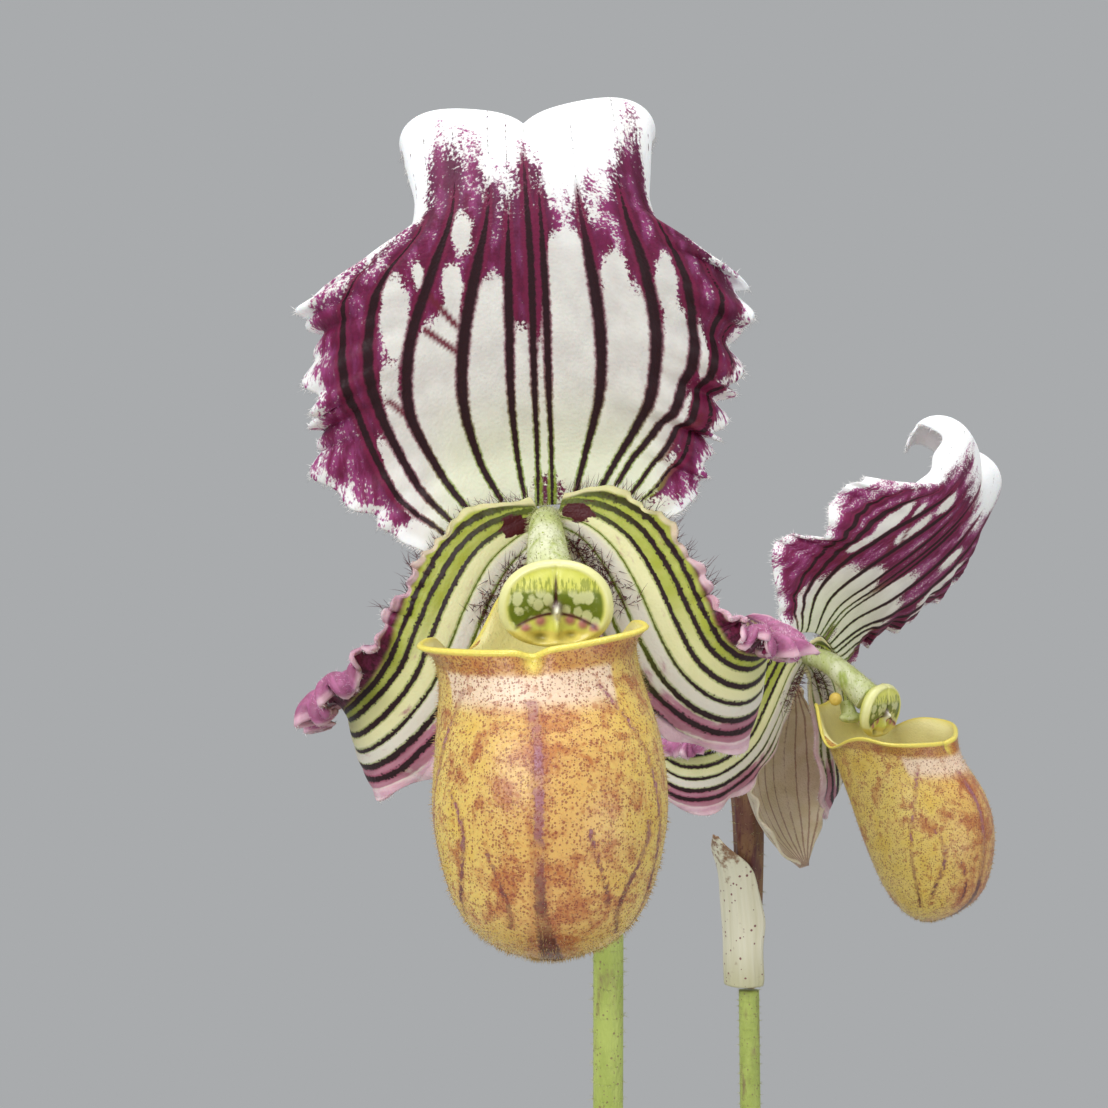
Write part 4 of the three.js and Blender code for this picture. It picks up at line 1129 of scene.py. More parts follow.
def petal_material():
    """Petal: yellow-green above, cream in the middle and grey-white below, striped green to maroon along it,
    with a dark hem that shows its purple back, a pale margin and a maroon blotch at its foot."""
    made, tree = material("petal")
    flat = read(tree, "flat", "Vector")
    pores, tone = skin_at(tree, flat, 4.0)
    base = mix(tree, read(tree, "lower"), colour("a3aa3a"), colour("e6e2b0"))
    base = mix(tree, times(tree, tone, 0.3), base, colour("d3d490"))
    base = mix(tree, read(tree, "lowest"), base, colour("dad4c4"))
    long_place = stretched(tree, flat, (1.0, 0.35, 1))
    wash = blotches(tree, long_place, 0.8, read(tree, "wash"), 0.25)
    mauve = mix(tree, noise(tree, long_place, 1.4), colour("86304c"), colour("c08098"))
    base = mix(tree, times(tree, wash, 0.9), base, mauve)
    dark = mix(tree, read(tree, "far"), colour("66741c"), colour("24060c"))
    halo = vein(tree, flat, read(tree, "vein"), calc(tree, "ADD", read(tree, "width"), 0.14), 0.2)
    base = mix(tree, times(tree, halo, 0.6), base, mix(tree, wash, colour("8c9a35"), colour("8a3050")))
    stripe = vein(tree, flat, read(tree, "vein"), read(tree, "width"), 0.4)
    base = mix(tree, stripe, base, dark)
    specks = times(tree, halo, spots(tree, flat, 3.2, 0.45, 0.5))
    base = mix(tree, times(tree, specks, read(tree, "far")), base, colour("2a0b12"))
    ragged = noise(tree, stretched(tree, flat, (1.6, 0.5, 1)), 1.3)
    patch = calc(tree, "ADD", read(tree, "blotch"), calc(tree, "MULTIPLY_ADD", ragged, 1.1, -0.55))
    base = mix(tree, fade(tree, patch, 0.42, 0.5), base, colour("480a12"))
    mottle = fade(tree, noise(tree, flat, 1.8, detail=5.0, roughness=0.7), 0.35, 0.68)
    inside = mix(tree, mottle, colour("3c081c"), colour("7e2450"))
    outside = mix(tree, mottle, colour("6c1440"), colour("b05a8c"))
    hem = mix(tree, read(tree, "side"), inside, outside)
    base = mix(tree, times(tree, read(tree, "hem"), read(tree, "out")), base, hem)
    behind = times(tree, read(tree, "side"), 0.45)
    base = mix(tree, behind, base, mix(tree, read(tree, "far"), colour("c9cf96"), colour("b87a9c")))
    rim = mix(tree, noise(tree, flat, 0.8), colour("c77a9c"), colour("f6e6e6"))
    rim = mix(tree, read(tree, "out"), colour("e4dba8"), rim)
    base = mix(tree, times(tree, read(tree, "rim"), 0.85), base, rim)
    height = calc(tree, "ADD", times(tree, stripe, 0.4), times(tree, pores, 0.4))
    surface(tree, base, 0.5, height, 0.08,
            Subsurface_Weight=0.08, Subsurface_Scale=0.002, Specular_IOR_Level=0.3)
    return made


def petal_grid(side, flower, letter):
    """A petal: a sheet with a crinkled upper margin, whose outer half is a wide hem that rolls forwards. The
    left one is mirrored, with its columns turned round so that its face stays in front."""
    s, t = across_and_along(fine(96, flower), fine(190, flower))
    seed = {"left": 0.7, "right": 2.9}[side] + (letter == "b") * 1.7
    upper = np.clip(-s, 0, 1)
    lower = np.clip(s, 0, 1)
    crinkle = through(PETAL_CRINKLE, t)
    fine_wave = ruffled(s, t, PETAL_CRINKLE_WAVES, (seed, seed))
    relief = upper ** 6 * crinkle * (fine_wave + 0.9 * ruffled(s, t, 11, (seed, seed)))
    slow_wave = ruffled(s, t, PETAL_RUFFLE_WAVES, (seed + 1, seed + 1))
    relief = relief + lower ** 4 * through(PETAL_RUFFLE, t) * slow_wave
    base_half = through(PETAL_HALF, t)
    lines = [through(keys, t) for keys, _ in PETAL_STRIPES]
    grooves = sum(np.exp(-(((s - line) * base_half) / 0.3) ** 2) for line in lines)
    grooves = grooves * -PETAL_STRIPE_SINK * ramp(t, 0.02, 0.1)
    scallop = 0.4 * crinkle * ruffled(s, t, PETAL_CRINKLE_WAVES, (seed + 1.5, seed))
    scallop = scallop + 0.35 * ruffled(s, t, 8, (seed, seed))
    upper_hem = through(PETAL_UPPER_HEM[side], t) + scallop * upper ** 4
    lower_hem = through(PETAL_LOWER_HEM, t) * (1 + 0.3 * ruffled(s, t, PETAL_RUFFLE_WAVES, (seed, seed)))
    half = base_half + by_side(s, upper_hem, lower_hem)
    cup = through(PETAL_CUP, t)
    curl = through(PETAL_HEM_ROLL, t)
    roll = by_side(s, curl + 0.25 * curl * ruffled(s, t, 9, (seed, seed)), -0.1)
    points = sheet(s, t, PETALS[side], PETAL_ACROSS, half, cup, roll, relief=relief + grooves)
    flare = through(PETAL_FLARE_SHARE, t)
    points = points + (upper ** 2 * flare)[..., None] * PETAL_FLARE[side]
    values = petal_values(s * half, t, base_half, half, seed, PETAL_BLOTCH[side])
    if side == "left":
        points = points[:, ::-1] * [-1, 1, 1]
        values = {label: array[:, ::-1] for label, array in values.items()}
    points = points @ rotation(y=flower["petal_roll"][side]).T
    return in_place(flower, points), values


def petal_values(offset, t, base_half, half, seed, blotch):
    """The petal's pattern from the offset in millimetres from its middle line, negative above it: distance to
    the nearest stripe and that stripe's width, and where hem, rim, blotch, paler lower bands, mauve wash and
    darker far stripes are."""
    share = offset / base_half
    away = np.stack([np.abs(share - through(keys, t)) * base_half for keys, _ in PETAL_STRIPES])
    strength = np.array([strength for _, strength in PETAL_STRIPES])[np.argmin(away, 0)]
    width = np.where(share < -0.2, through(PETAL_UPPER_WIDTHS, t), through(PETAL_LOWER_WIDTHS, t))
    hem = ramp(-share, 0.98, 1.12)
    to_margin = half - np.abs(offset)
    pale_rim = np.maximum(1 - ramp(to_margin, 0.35, 0.75), ramp(share, 1.0, 1.1) * ramp(t, 0.2, 0.4))
    top_band = 0.7 * ramp(share, -0.8, -0.6) * ramp(t, 0.3, 0.5)
    grid = np.ones_like(offset)
    return {
        "flat": np.stack([offset, t * PETAL_LENGTH * grid, 5 * seed * grid], -1),
        "vein": away.min(0),
        "width": strength * width * (1 - hem),
        "lower": np.maximum(ramp(share, -0.42, -0.3), top_band) * grid,
        "lowest": ramp(share, -0.05, 0.15) * grid,
        "wash": ramp(share, 0.42, 0.62) * (1 - ramp(share, 0.98, 1.1)) * ramp(t, 0.38, 0.56),
        "hem": hem * grid,
        "far": np.where(share < -0.2, ramp(t, -0.1, 0.25), ramp(t, 0.3, 0.56)),
        "blotch": np.exp(-((share + 0.3) / 0.34) ** 2 - ((t - blotch) / 0.045) ** 2),
        "out": ramp(t, 0.16, 0.34) * grid,
        "rim": pale_rim * grid,
    }


def tuft(points, side, count):
    """Curly hairs in a band along the lower part of the petal's foot."""
    along = chance.uniform(0.07, 0.33, count)
    across = 0.6 - 1.1 * (along - 0.07) + chance.normal(0, 0.1, count)
    rows = (along * (len(points) - 1)).astype(int)
    columns = ((across + 1) / 2 * (points.shape[1] - 1)).astype(int)
    if side == "left":
        columns = points.shape[1] - 1 - columns
    ways = front_way(points)[rows, columns] + chance.normal(0, 0.5, (count, 3))
    lengths = chance.uniform(0.8, 1.6, count)
    return hairs(points[rows, columns], ways, lengths, 0.05, chance.normal(0, 0.6, (count, 3)))


petal_striped = petal_material()
pink_hair = hair_material("pink_hair", colour("d9a3c0"), colour("f4e6ee"))
for letter, flower in FLOWERS.items():
    for side in ("left", "right"):
        points, values = petal_grid(side, flower, letter)
        name = f"petal_{side}_{letter}"
        body = blade(points, *PETAL_THICKNESS)
        piece(f"fine_{name}", *body, petal_striped, "petal", replaces=[name], attributes=both_sides(**values))
        upper_margin, lower_margin = ("right", "left") if side == "left" else ("left", "right")
        rows, columns = points.shape[:2]
        inner = points[3:rows * 2 // 5]
        roots, ways, lengths = margin_hairs(inner, PETAL_LONG_HAIRS, PETAL_LONG_LENGTH, 0.8, [upper_margin])
        bend = chance.normal(0, 0.25, (len(roots), 3))
        long_hairs = hairs(roots, ways + [0, -0.1, 0.4], lengths, 0.028, bend)
        piece(f"petal_hairs_{side}_{letter}", *long_hairs, dark_hair, "petal")
        edges = [upper_margin, lower_margin]
        roots, ways, lengths = margin_hairs(points, PETAL_FRINGE_HAIRS, PETAL_FRINGE_LENGTH, 1.0, edges)
        short_hairs = hairs(roots, ways, lengths, 0.03, chance.normal(0, 0.08, (len(roots), 3)), SPIKE)
        piece(f"petal_fringe_{side}_{letter}", *short_hairs, white_hair, "petal")
        outer = (0, columns * 3 // 10) if side == "right" else (columns * 7 // 10, columns)
        count, beyond = fine(PETAL_DOWN_HAIRS, flower), (rows * 9 // 20, rows * 19 // 20)
        down = fur(points, count, beyond, outer, -1, PETAL_DOWN_LENGTH, 0.03)
        piece(f"petal_down_{side}_{letter}", *down, pink_hair, "petal")
        curls = tuft(points, side, fine(PETAL_TUFT_HAIRS, flower))
        piece(f"petal_tuft_{side}_{letter}", *curls, dark_hair, "petal")


# Lips: the third petal grown into a hollow pouch, with a rolled rim, an ear at each side of its mouth and a
# groove down from the middle of the rim. Waxy gold with orange clouds, fine red-brown spots and purple veins.
LIP_FRONT = [
    (-17, -35), (-20.8, -33.4), (-24, -30), (-25.2, -24), (-24.2, -18.6), (-21.4, -14), (-20.6, -10.9),
]
LIP_BACK = [
    (-16.6, -35), (-14, -33.4), (-11.4, -30.2), (-8.4, -24.3), (-5.6, -18), (-2.8, -12), (-0.9, -7.4),
]
LIP_HALF = [0.4, 4.6, 7.4, 9.1, 9.1, 8.5, 9]
LIP_PINCH = [0, 0, 0.02, 0.08, 0.16, 0.3, 0.42]
LIP_WALL = 0.5
LIP_BEAD = 0.12
LIP_CORNER_FLARE = 1.5
LIP_CORNER = (0.95, 0.32)  # turn from the front, and half width, in radians
LIP_SIDE_DIP = 3.3
LIP_DIP = (2.06, 0.42)
LIP_LOBE_HEIGHT = 1.3
LIP_LOBE = (2.62, 0.22)
LIP_GROOVE = 0.9
LIP_RIM_TILT = 0.085
LIP_MOUTH_SHIFT = 1.35
LIP_HAIRS = 7000


def lip_material():
    """Pouch: yellow, gold and orange-brown in clouds, densely spotted, a painted pink-cream sheen under the
    mouth, with long purple veins painted a paler lilac higher up as sheen, a yellow rim line and a yellow
    notch."""
    made, tree = material("lip")
    place = object_place(tree)
    pores, tone = skin_at(tree, place, 3.0)
    base = mix(tree, tone, colour("d8b850"), colour("e8d47c"))
    base = mix(tree, times(tree, read(tree, "middle"), 0.6), base, colour("d8a066"))
    # painted sheen: pink-cream over the band under the mouth
    base = mix(tree, times(tree, read(tree, "sheen"), 0.8), base, colour("edd3bd"))
    brown = calc(tree, "MULTIPLY_ADD", read(tree, "middle"), 0.2, 0.3)
    # the orange clouds stay out of the painted sheen
    clear_of_painted_sheen = calc(tree, "SUBTRACT", 1.0, read(tree, "sheen"))
    clouds = times(tree, blotches(tree, place, 0.36, brown, 0.25), clear_of_painted_sheen)
    base = mix(tree, times(tree, clouds, 0.75), base, colour("b0602a"))
    flecks = blotches(tree, place, 1.3, calc(tree, "MULTIPLY_ADD", clouds, 0.2, 0.26), 0.1)
    base = mix(tree, times(tree, flecks, 0.5), base, colour("a3542c"))
    base = mix(tree, times(tree, read(tree, "spotty"), 0.6), base, colour("b27434"))
    distance = read(tree, "vein")
    halo = vein(tree, place, distance, times(tree, read(tree, "width"), 2.2), 1.2)
    base = mix(tree, times(tree, halo, 0.35), base, colour("9a4c34"))
    core = vein(tree, place, distance, read(tree, "width"), 0.9)
    # painted sheen: vein cores go from dark maroon to a pale lilac higher up the pouch
    ink = mix(tree, fade(tree, read(tree, "height"), 0.3, 0.6), colour("480e1a"), colour("9a6070"))
    faint = fade(tree, noise(tree, place, 0.5), 0.25, 0.6)
    faint = calc(tree, "MAXIMUM", faint, fade(tree, read(tree, "height"), 0.4, 0.2))
    base = mix(tree, times(tree, core, times(tree, faint, 0.88)), base, ink)
    share = calc(tree, "MULTIPLY_ADD", read(tree, "spotty"), 0.4, 0.4)
    share = calc(tree, "MULTIPLY_ADD", clouds, 0.3, share)
    specks = calc(tree, "MAXIMUM", spots(tree, place, 3.9, 0.5, share), spots(tree, place, 5.6, 0.5, share))
    base = mix(tree, times(tree, specks, 0.7), base, colour("84372a"))
    base = mix(tree, times(tree, read(tree, "inside"), 0.9), base, colour("f0e7a4"))
    base = mix(tree, read(tree, "rim"), base, colour("e6d45e"))
    height = calc(tree, "MULTIPLY_ADD", pores, 0.3, times(tree, core, -0.4))
    height = calc(tree, "ADD", height, times(tree, specks, 0.2))
    surface(tree, base, 0.36, height, 0.09, Subsurface_Weight=0.06, Subsurface_Scale=0.002,
            Coat_Weight=0.15, Coat_Roughness=0.25)
    return made


def at_turn(turn, middle, wide):
    """1 at a turn to either side of the front, fading with -((|turn| - middle) / wide)² as the power of e."""
    return np.exp(-((np.abs(turn) - middle) / wide) ** 2)


def lip_rings(t, turn, inset):
    """Rings of the pouch: at each t a ring runs from the front point to the back point and out to half a
    width, its back half pinched in. Near the rim its two corners flare, its sides dip, a lobe stands up on
    either side of the column, a groove runs down the front, and the mouth leans and moves to one side. inset
    moves the ring inwards."""
    front, back = through(LIP_FRONT, t[:, 0])[:, None], through(LIP_BACK, t[:, 0])[:, None]
    depth = np.linalg.norm(front - back, axis=-1) / 2
    shrink = np.maximum(0.15, 1 - inset / np.maximum(depth, 0.1))
    share = (1 - np.cos(turn) * shrink) / 2
    half = through(LIP_HALF, t)
    x = np.maximum(half - inset, 0.1) * np.sin(turn) * (1 - through(LIP_PINCH, t) * share ** 2)
    y, z = np.moveaxis(front + (back - front) * share[..., None], -1, 0)
    rim = ramp(t, 0.86, 1)
    x = x + np.sign(turn) * LIP_CORNER_FLARE * at_turn(turn, *LIP_CORNER) * rim ** 2
    z = z + rim * (LIP_LOBE_HEIGHT * at_turn(turn, *LIP_LOBE) - LIP_SIDE_DIP * at_turn(turn, *LIP_DIP))
    groove = np.exp(-(turn / 0.1) ** 2) * ramp(t, 0.84, 0.97)
    y = y + LIP_GROOVE * groove
    z = z - LIP_GROOVE / 2 * groove * rim
    z = z + LIP_RIM_TILT * x * ramp(t, 0.55, 1)
    x = x - LIP_MOUTH_SHIFT * ramp(t, 0.6, 1)
    swell = 0.12 * np.sin(5 * turn + 3 * t) * np.sin(np.pi * t)
    return np.stack([x * (1 + swell / 9), y, z], -1)


def lip_grid(flower):
    """The whole pouch as one run of rings, up the outside from the toe, over the rim and down the inside.
    Returns its points, each ring's t, the turns round it, and how far inside each ring is."""
    turn = np.linspace(-np.pi, np.pi, fine(150, flower), endpoint=False)[None, :]
    outside = np.linspace(0.012, 1, fine(110, flower))[:, None]
    inside = np.linspace(1, 0.06, fine(40, flower))[:, None]
    bead = LIP_BEAD * ramp(outside, 0.975, 0.995)
    outer = lip_rings(outside, turn, -bead)
    over = lip_rings(np.array([[1.0], [1.0]]), turn, np.array([[0.05], [0.4]])) + [0, 0, 0.16]
    inner = lip_rings(inside, turn, LIP_WALL + 0 * inside)
    inner[0] = inner[0] + [0, 0, -0.05]
    rows = np.concatenate([outside, [[1.0], [1.0]], inside])
    within = np.concatenate([0 * outside, [[0.2], [0.6]], 1 + 0 * inside])
    return np.concatenate([outer, over, inner]), rows, turn, within


LIP_VEINS = [
    # turn from the front at equal steps from toe to rim, width in millimetres, and where it starts and ends
    ([0.1, 0, -0.08, -0.09, -0.08, -0.07, -0.04], 0.36, -0.1, 0.85),
    ([-1.3, -1.3, -1.32, -1.3, -1.1, -0.76, -0.4], 0.17, 0.2, 0.88),
    ([1.2, 1.2, 1.2, 1.12, 0.93, 0.57, 0.2], 0.17, 0.2, 0.88),
    ([-1.6, -1.3, -1.06, -0.8, -1.1, -0.8, -0.4], 0.2, 0.26, 0.62),
    ([-0.9, -0.66, -0.42, -0.6, -0.75, -0.5, -0.3], 0.14, 0.24, 0.5),
    ([1.6, 1.2, 0.76, 0.95, 0.6, 0.4, 0.2], 0.2, 0.2, 0.56),
    ([0.5, 0.5, 0.62, 0.34, 0.4, 0.3, 0.2], 0.14, 0.3, 0.55),
]


def lip_values(t, turn, within):
    """The pouch's pattern: distance to its nearest long vein and that vein's width, its height, and where
    rim, dense spots, the pink-cream zone of painted sheen, the browner middle and the inside are."""
    half = through(LIP_HALF, t)
    away = np.stack([np.abs(turn - through(line, t)) * half for line, _, _, _ in LIP_VEINS])
    shown = [ramp(t, low, low + 0.05) * (1 - ramp(t, high - 0.04, high)) for _, _, low, high in LIP_VEINS]
    away = away + 5 * (1 - np.stack(shown))
    strength = np.array([width for _, width, _, _ in LIP_VEINS])[np.argmin(away, 0)]
    grid = np.ones_like(t * turn)
    toe = 1 + 1.8 * (1 - ramp(t, 0.05, 0.45)) * (np.abs(turn) < 0.6)
    notch = np.exp(-(turn / 0.07) ** 2) * ramp(t, 0.87, 0.94)
    values = {
        "vein": away.min(0),
        "width": strength * toe,
        "height": t * grid,
        "rim": np.clip(ramp(t, 0.972, 0.985) + notch, 0, 1) * (1 - 0.6 * ramp(within, 0.8, 1)) * grid,
        "spotty": ramp(t, 0.885, 0.91) * grid,
        # painted sheen: the band under the mouth, painted pink-cream
        "sheen": ramp(t, 0.76, 0.82) * (1 - ramp(t, 0.88, 0.91)) * (np.abs(turn + 0.1) < 0.85) * grid,
        "middle": np.exp(-((turn - 0.05) / 0.75) ** 2) * grid,
        "inside": within * grid,
    }
    return {label: with_ends(array) for label, array in values.items()}


lip_gold = lip_material()
gold_hair = hair_material("gold_hair", colour("b98a4a"), colour("e3cf98"))
for letter, flower in FLOWERS.items():
    points, rows, turn, within = lip_grid(flower)
    points = in_place(flower, points)
    name = f"lip_{letter}"
    values = lip_values(rows, turn, within)
    piece(f"fine_{name}", *capped(points), lip_gold, "lip", replaces=[name], attributes=values)
    count = fine(LIP_HAIRS, flower)
    j, i = chance.integers(2, fine(105, flower), count), chance.integers(0, points.shape[1], count)
    normal = unit(np.cross(np.roll(points, -1, 1) - points, np.gradient(points, axis=0)))[j, i]
    ways = normal + chance.normal(0, 0.2, (count, 3))
    bend = chance.normal(0, 0.04, (count, 3))
    down = hairs(points[j, i], ways, chance.uniform(0.2, 0.42, count), 0.025, bend, SPIKE)
    piece(f"lip_hairs_{letter}", *down, gold_hair, "lip")


# Columns: the joined stamens and style, a short hairy stalk of pale green tissue. It grows from the flower's
# centre and droops to the staminode, which it carries.
COLUMN_LINE = [(-0.4, 2.6, -0.5), (-0.4, -2.2, -1.6), (0, -7.8, -6)]
COLUMN_RADII = [1.15, 1.5, 2]
COLUMN_HAIRS = 900


def tube(line, radii, sides, steps):
    """A round stem: line(t) + radius(t)·(side·cos + other·sin), where side is square to the line."""
    t = np.linspace(0, 1, steps)
    along = tangent(line, t)
    side = unit(np.cross(along, [0.13, 0.97, 0.21]))
    other = np.cross(along, side)
    turn = np.linspace(0, 2 * np.pi, sides, endpoint=False)
    radius = through(radii, t)[:, None, None]
    round_ = side[:, None] * np.cos(turn)[:, None] + other[:, None] * np.sin(turn)[:, None]
    return through(line, t)[:, None] + radius * round_


def fuzz(points, count, length, radius):
    """Hairs all over a stem made of rings, standing out from its middle line."""
    j, i = chance.integers(0, len(points), count), chance.integers(0, points.shape[1], count)
    way = unit(points[j, i] - points[j].mean(1)) + chance.normal(0, 0.35, (count, 3))
    lengths = length * chance.uniform(0.6, 1.2, count)
    return hairs(points[j, i], way, lengths, radius, chance.normal(0, 0.12 * length, (count, 3)), SPIKE)


def stem_material(name, light, dark, tint, tint_amount):
    """A stem: a light and a dark tone clouded along it, patched and flecked with a tint."""
    made, tree = material(name)
    place = object_place(tree, (1, 1, 0.35))
    pores, tone = skin_at(tree, place, 3.5)
    base = mix(tree, tone, light, dark)
    base = mix(tree, blotches(tree, place, 0.6, tint_amount, 0.25), base, tint)
    base = mix(tree, spots(tree, object_place(tree), 3.0, 0.4, 0.35), base, tint)
    surface(tree, base, 0.5, pores, 0.08)
    return made


column_green = stem_material("column", colour("e6e8c4"), colour("c6cf86"), colour("aab85a"), 0.3)
for letter, flower in FLOWERS.items():
    points = in_place(flower, tube(COLUMN_LINE, COLUMN_RADII, 32, 40))
    name = f"column_{letter}"
    piece(f"fine_{name}", *capped(points), column_green, "column", replaces=[name])
    piece(f"column_hairs_{letter}", *fuzz(points, COLUMN_HAIRS, 0.5, 0.025), green_hair, "column")


# Staminodes: a waxy shield grown on the tip of the column, wider than tall, with a rolled yellow-green rim, a
# groove down its upper half, a net of green veins, and a pale beak over two openings at its lower edge.
STAMINODE_MIDDLE = (0.45, -9.3, -7.6)
STAMINODE_HALF = (4.7, 3.65)
STAMINODE_SQUARENESS = 0.9
STAMINODE_DOME = 1.05
STAMINODE_BLOBS = [(-2.45, -1.95), (-1.25, -1.35), (1.15, -1.25), (2.2, -1.6), (3.1, -2)]


def staminode_material():
    """Staminode: yellow-green, with a green net on cream, a maroon heart and line, pink patches under the
    line, a yellow foot with painted shade in its two openings, and a white beak."""
    made, tree = material("staminode")
    flat = read(tree, "flat", "Vector")
    pores, tone = skin_at(tree, flat, 4.0)
    base = mix(tree, tone, colour("d9dc58"), colour("e6e67c"))
    base = mix(tree, read(tree, "border"), base, colour("eceaa4"))
    tall = stretched(tree, flat, (1.25, 0.95, 1))
    cells = node(tree, "TexVoronoi", {"Vector": tall, "Scale": 1.0, "Randomness": 0.75}).outputs["Distance"]
    rough = calc(tree, "MULTIPLY_ADD", noise(tree, flat, 4.0), 0.3, -0.15)
    between_veins = fade(tree, calc(tree, "ADD", cells, rough), 0.66, 0.46)
    cream = mix(tree, between_veins, colour("5e7018"), colour("cdd09a"))
    streaks = stretched(tree, flat, (4.0, 0.8, 1))
    stipple = blotches(tree, streaks, 1.0, read(tree, "flecks"), 0.15)
    base = mix(tree, times(tree, stipple, 0.7), base, colour("7f8b2c"))
    base = mix(tree, times(tree, read(tree, "net"), 0.95), base, cream)
    base = mix(tree, times(tree, read(tree, "pink"), 0.9), base, colour("c0707a"))
    base = mix(tree, read(tree, "maroon"), base, colour("4b1020"))
    base = mix(tree, read(tree, "foot"), base, colour("ead970"))
    # painted shade: olive darkening inside the two openings
    base = mix(tree, read(tree, "opening"), base, colour("a2964a"))
    base = mix(tree, read(tree, "beak"), base, colour("f7f4dc"))
    surface(tree, base, 0.34, times(tree, pores, 0.3), 0.05,
            Coat_Weight=0.2, Coat_Roughness=0.2)
    return made


def bump_at(x, z, middle_x, middle_z, wide, tall):
    """A smooth hill of height 1: e to the power of -((x - middle_x) / wide)² - ((z - middle_z) / tall)²."""
    return np.exp(-((x - middle_x) / wide) ** 2 - ((z - middle_z) / tall) ** 2)


def staminode_mesh():
    """A shield as a disc of rings: its face domed by the root of 1 - radius², with groove, hollow, beak and
    openings added, and its back a flatter dome. Returns its rings and the pattern's values."""
    angle = np.linspace(0, 2 * np.pi, 120, endpoint=False)[None, :]
    face_radius = np.linspace(0.01, 1, 64)[:, None]
    back_radius = np.linspace(1, 0.02, 14)[1:, None]
    radius = np.concatenate([face_radius, back_radius])
    behind = np.concatenate([0 * face_radius, 1 + 0 * back_radius])
    half_x, half_z = STAMINODE_HALF
    x = half_x * radius * squared(np.cos(angle), STAMINODE_SQUARENESS) * (1 - 0.07 * np.sin(angle))
    z = half_z * radius * squared(np.sin(angle), STAMINODE_SQUARENESS)
    dome = np.sqrt(np.clip(1 - radius ** 2, 0, 1))
    rim = np.exp(-((radius - 0.9) / 0.08) ** 2) * 0.22
    hollow = 0.8 * bump_at(x, z, 0, -1.5, 3.3, 1.4)
    groove = 0.35 * np.exp(-(x / 0.16) ** 2) * ramp(z, -0.6, 0.4)
    beak = 0.9 * bump_at(x, z, 0.1, -0.5, 0.32, 0.5) + 0.9 * bump_at(x, z, 0.1, -1.9, 0.32, 1.0)
    openings = bump_at(x, z, -1.25, -2.85, 0.75, 0.5) + 0.8 * bump_at(x, z, 1.25, -2.6, 0.6, 0.35)
    line = -0.75 - 0.11 * x ** 2
    blobs = np.max([bump_at(x, z, *blob, 0.5, 0.5) for blob in STAMINODE_BLOBS], axis=0)
    front = 0.25 + STAMINODE_DOME * dome + rim - hollow - groove + beak - 0.7 * openings + 0.25 * blobs
    y = np.where(behind > 0, 0.3 + 0.4 * dome, -front)
    points = np.stack([x, y, z + 0 * radius], -1) @ rotation(x=8).T + STAMINODE_MIDDLE
    visible = 1 - behind
    band = np.exp(-((z - line) / 0.16) ** 2) * ramp(np.abs(x), 0.1, 0.5) * (1 - ramp(np.abs(x), 3.1, 3.5))
    midline = 0.9 * np.exp(-(x / 0.12) ** 2) * ramp(z, -0.5, 0) * (1 - ramp(z, 1.6, 2.8))
    heart = bump_at(x, z, 0.05, -0.2, 0.5, 0.5) + midline
    within_rim = 1 - ramp(radius, 0.78, 0.86)
    values = {
        "border": ramp(radius, 0.8, 0.9) * visible,
        "net": ramp(z, line - 0.1, line + 0.1) * (1 - ramp(z, 0.8, 1.5)) * within_rim * visible,
        "flecks": 0.5 * ramp(z, 0.5, 1.2) * (1 - ramp(z, 1.6, 2.8)) * (1 - ramp(radius, 0.8, 0.9)) * visible,
        "pink": np.clip(1.6 * blobs - 0.3, 0, 1) * visible,
        "maroon": np.clip(band + 1.2 * heart, 0, 1) * visible,
        "foot": ramp(-z, 2.0, 2.4) * visible,
        # painted shade inside the two openings
        "opening": np.clip(1.8 * openings - 0.6, 0, 1) * visible,
        "beak": np.clip(1.6 * bump_at(x, z, 0.1, -0.65, 0.26, 0.55), 0, 1) * visible,
    }
    values = {label: array + 0 * x for label, array in values.items()}
    values["flat"] = np.stack([x, z + 0 * x, 4 * behind + 0 * x], -1)
    return points[::-1], {label: with_ends(array[::-1]) for label, array in values.items()}


staminode_yellow = staminode_material()
for letter, flower in FLOWERS.items():
    points, values = staminode_mesh()
    name = f"staminode_{letter}"
    body = capped(in_place(flower, points))
    piece(f"fine_{name}", *body, staminode_yellow, "staminode", replaces=[name], attributes=values)


# Stigmas and anthers: the flower's working parts, hidden behind the staminode. The stigma is a moist green
# shield on a short stalk that faces down into the pouch, and a ball of sticky pollen sits on each side of the
# column.
STIGMA_MIDDLE = (0, -5.2, -8.8)
STIGMA_HALF = (2, 1.4, 0.8)
STIGMA_STALK = [(0, -4.4, -6.6), (0, -5, -8.6)]
STIGMA_STALK_RADII = [0.9, 1.1]
ANTHERS = {"left": (-2.7, -4.4, -6.2), "right": (2.7, -4.4, -6.2)}
ANTHER_HALF = (0.8, 0.9, 0.9)


def ball(middle, half):
    """A ball squashed to three half sizes, as rings from its foot to its top."""
    down = np.linspace(np.pi - 0.05, 0.05, 20)[:, None]
    turn = np.linspace(0, 2 * np.pi, 28, endpoint=False)[None, :]
    ring = np.stack([np.sin(down) * np.cos(turn), np.sin(down) * np.sin(turn), np.cos(down) + 0 * turn], -1)
    return ring * half + middle


def pollen_material():
    """Pollen masses: sticky and golden, with a granular surface."""
    made, tree = material("pollen")
    place = object_place(tree)
    base = mix(tree, noise(tree, place, 2.0), colour("d8b23c"), colour("efd573"))
    surface(tree, base, 0.35, noise(tree, place, 6.0), 0.08)
    return made


pollen = pollen_material()
for letter, flower in FLOWERS.items():
    shield = capped(in_place(flower, ball(STIGMA_MIDDLE, STIGMA_HALF)))
    piece(f"fine_stigma_{letter}", *shield, column_green, "column", replaces=[f"stigma_{letter}"])
    stalk = capped(in_place(flower, tube(STIGMA_STALK, STIGMA_STALK_RADII, 20, 8)))
    piece(f"stigma_stalk_{letter}", *stalk, column_green, "column")
    for side, middle in ANTHERS.items():
        name = f"anther_{side}_{letter}"
        body = capped(in_place(flower, ball(middle, ANTHER_HALF)))
        piece(f"fine_{name}", *body, pollen, "pollen", replaces=[name])


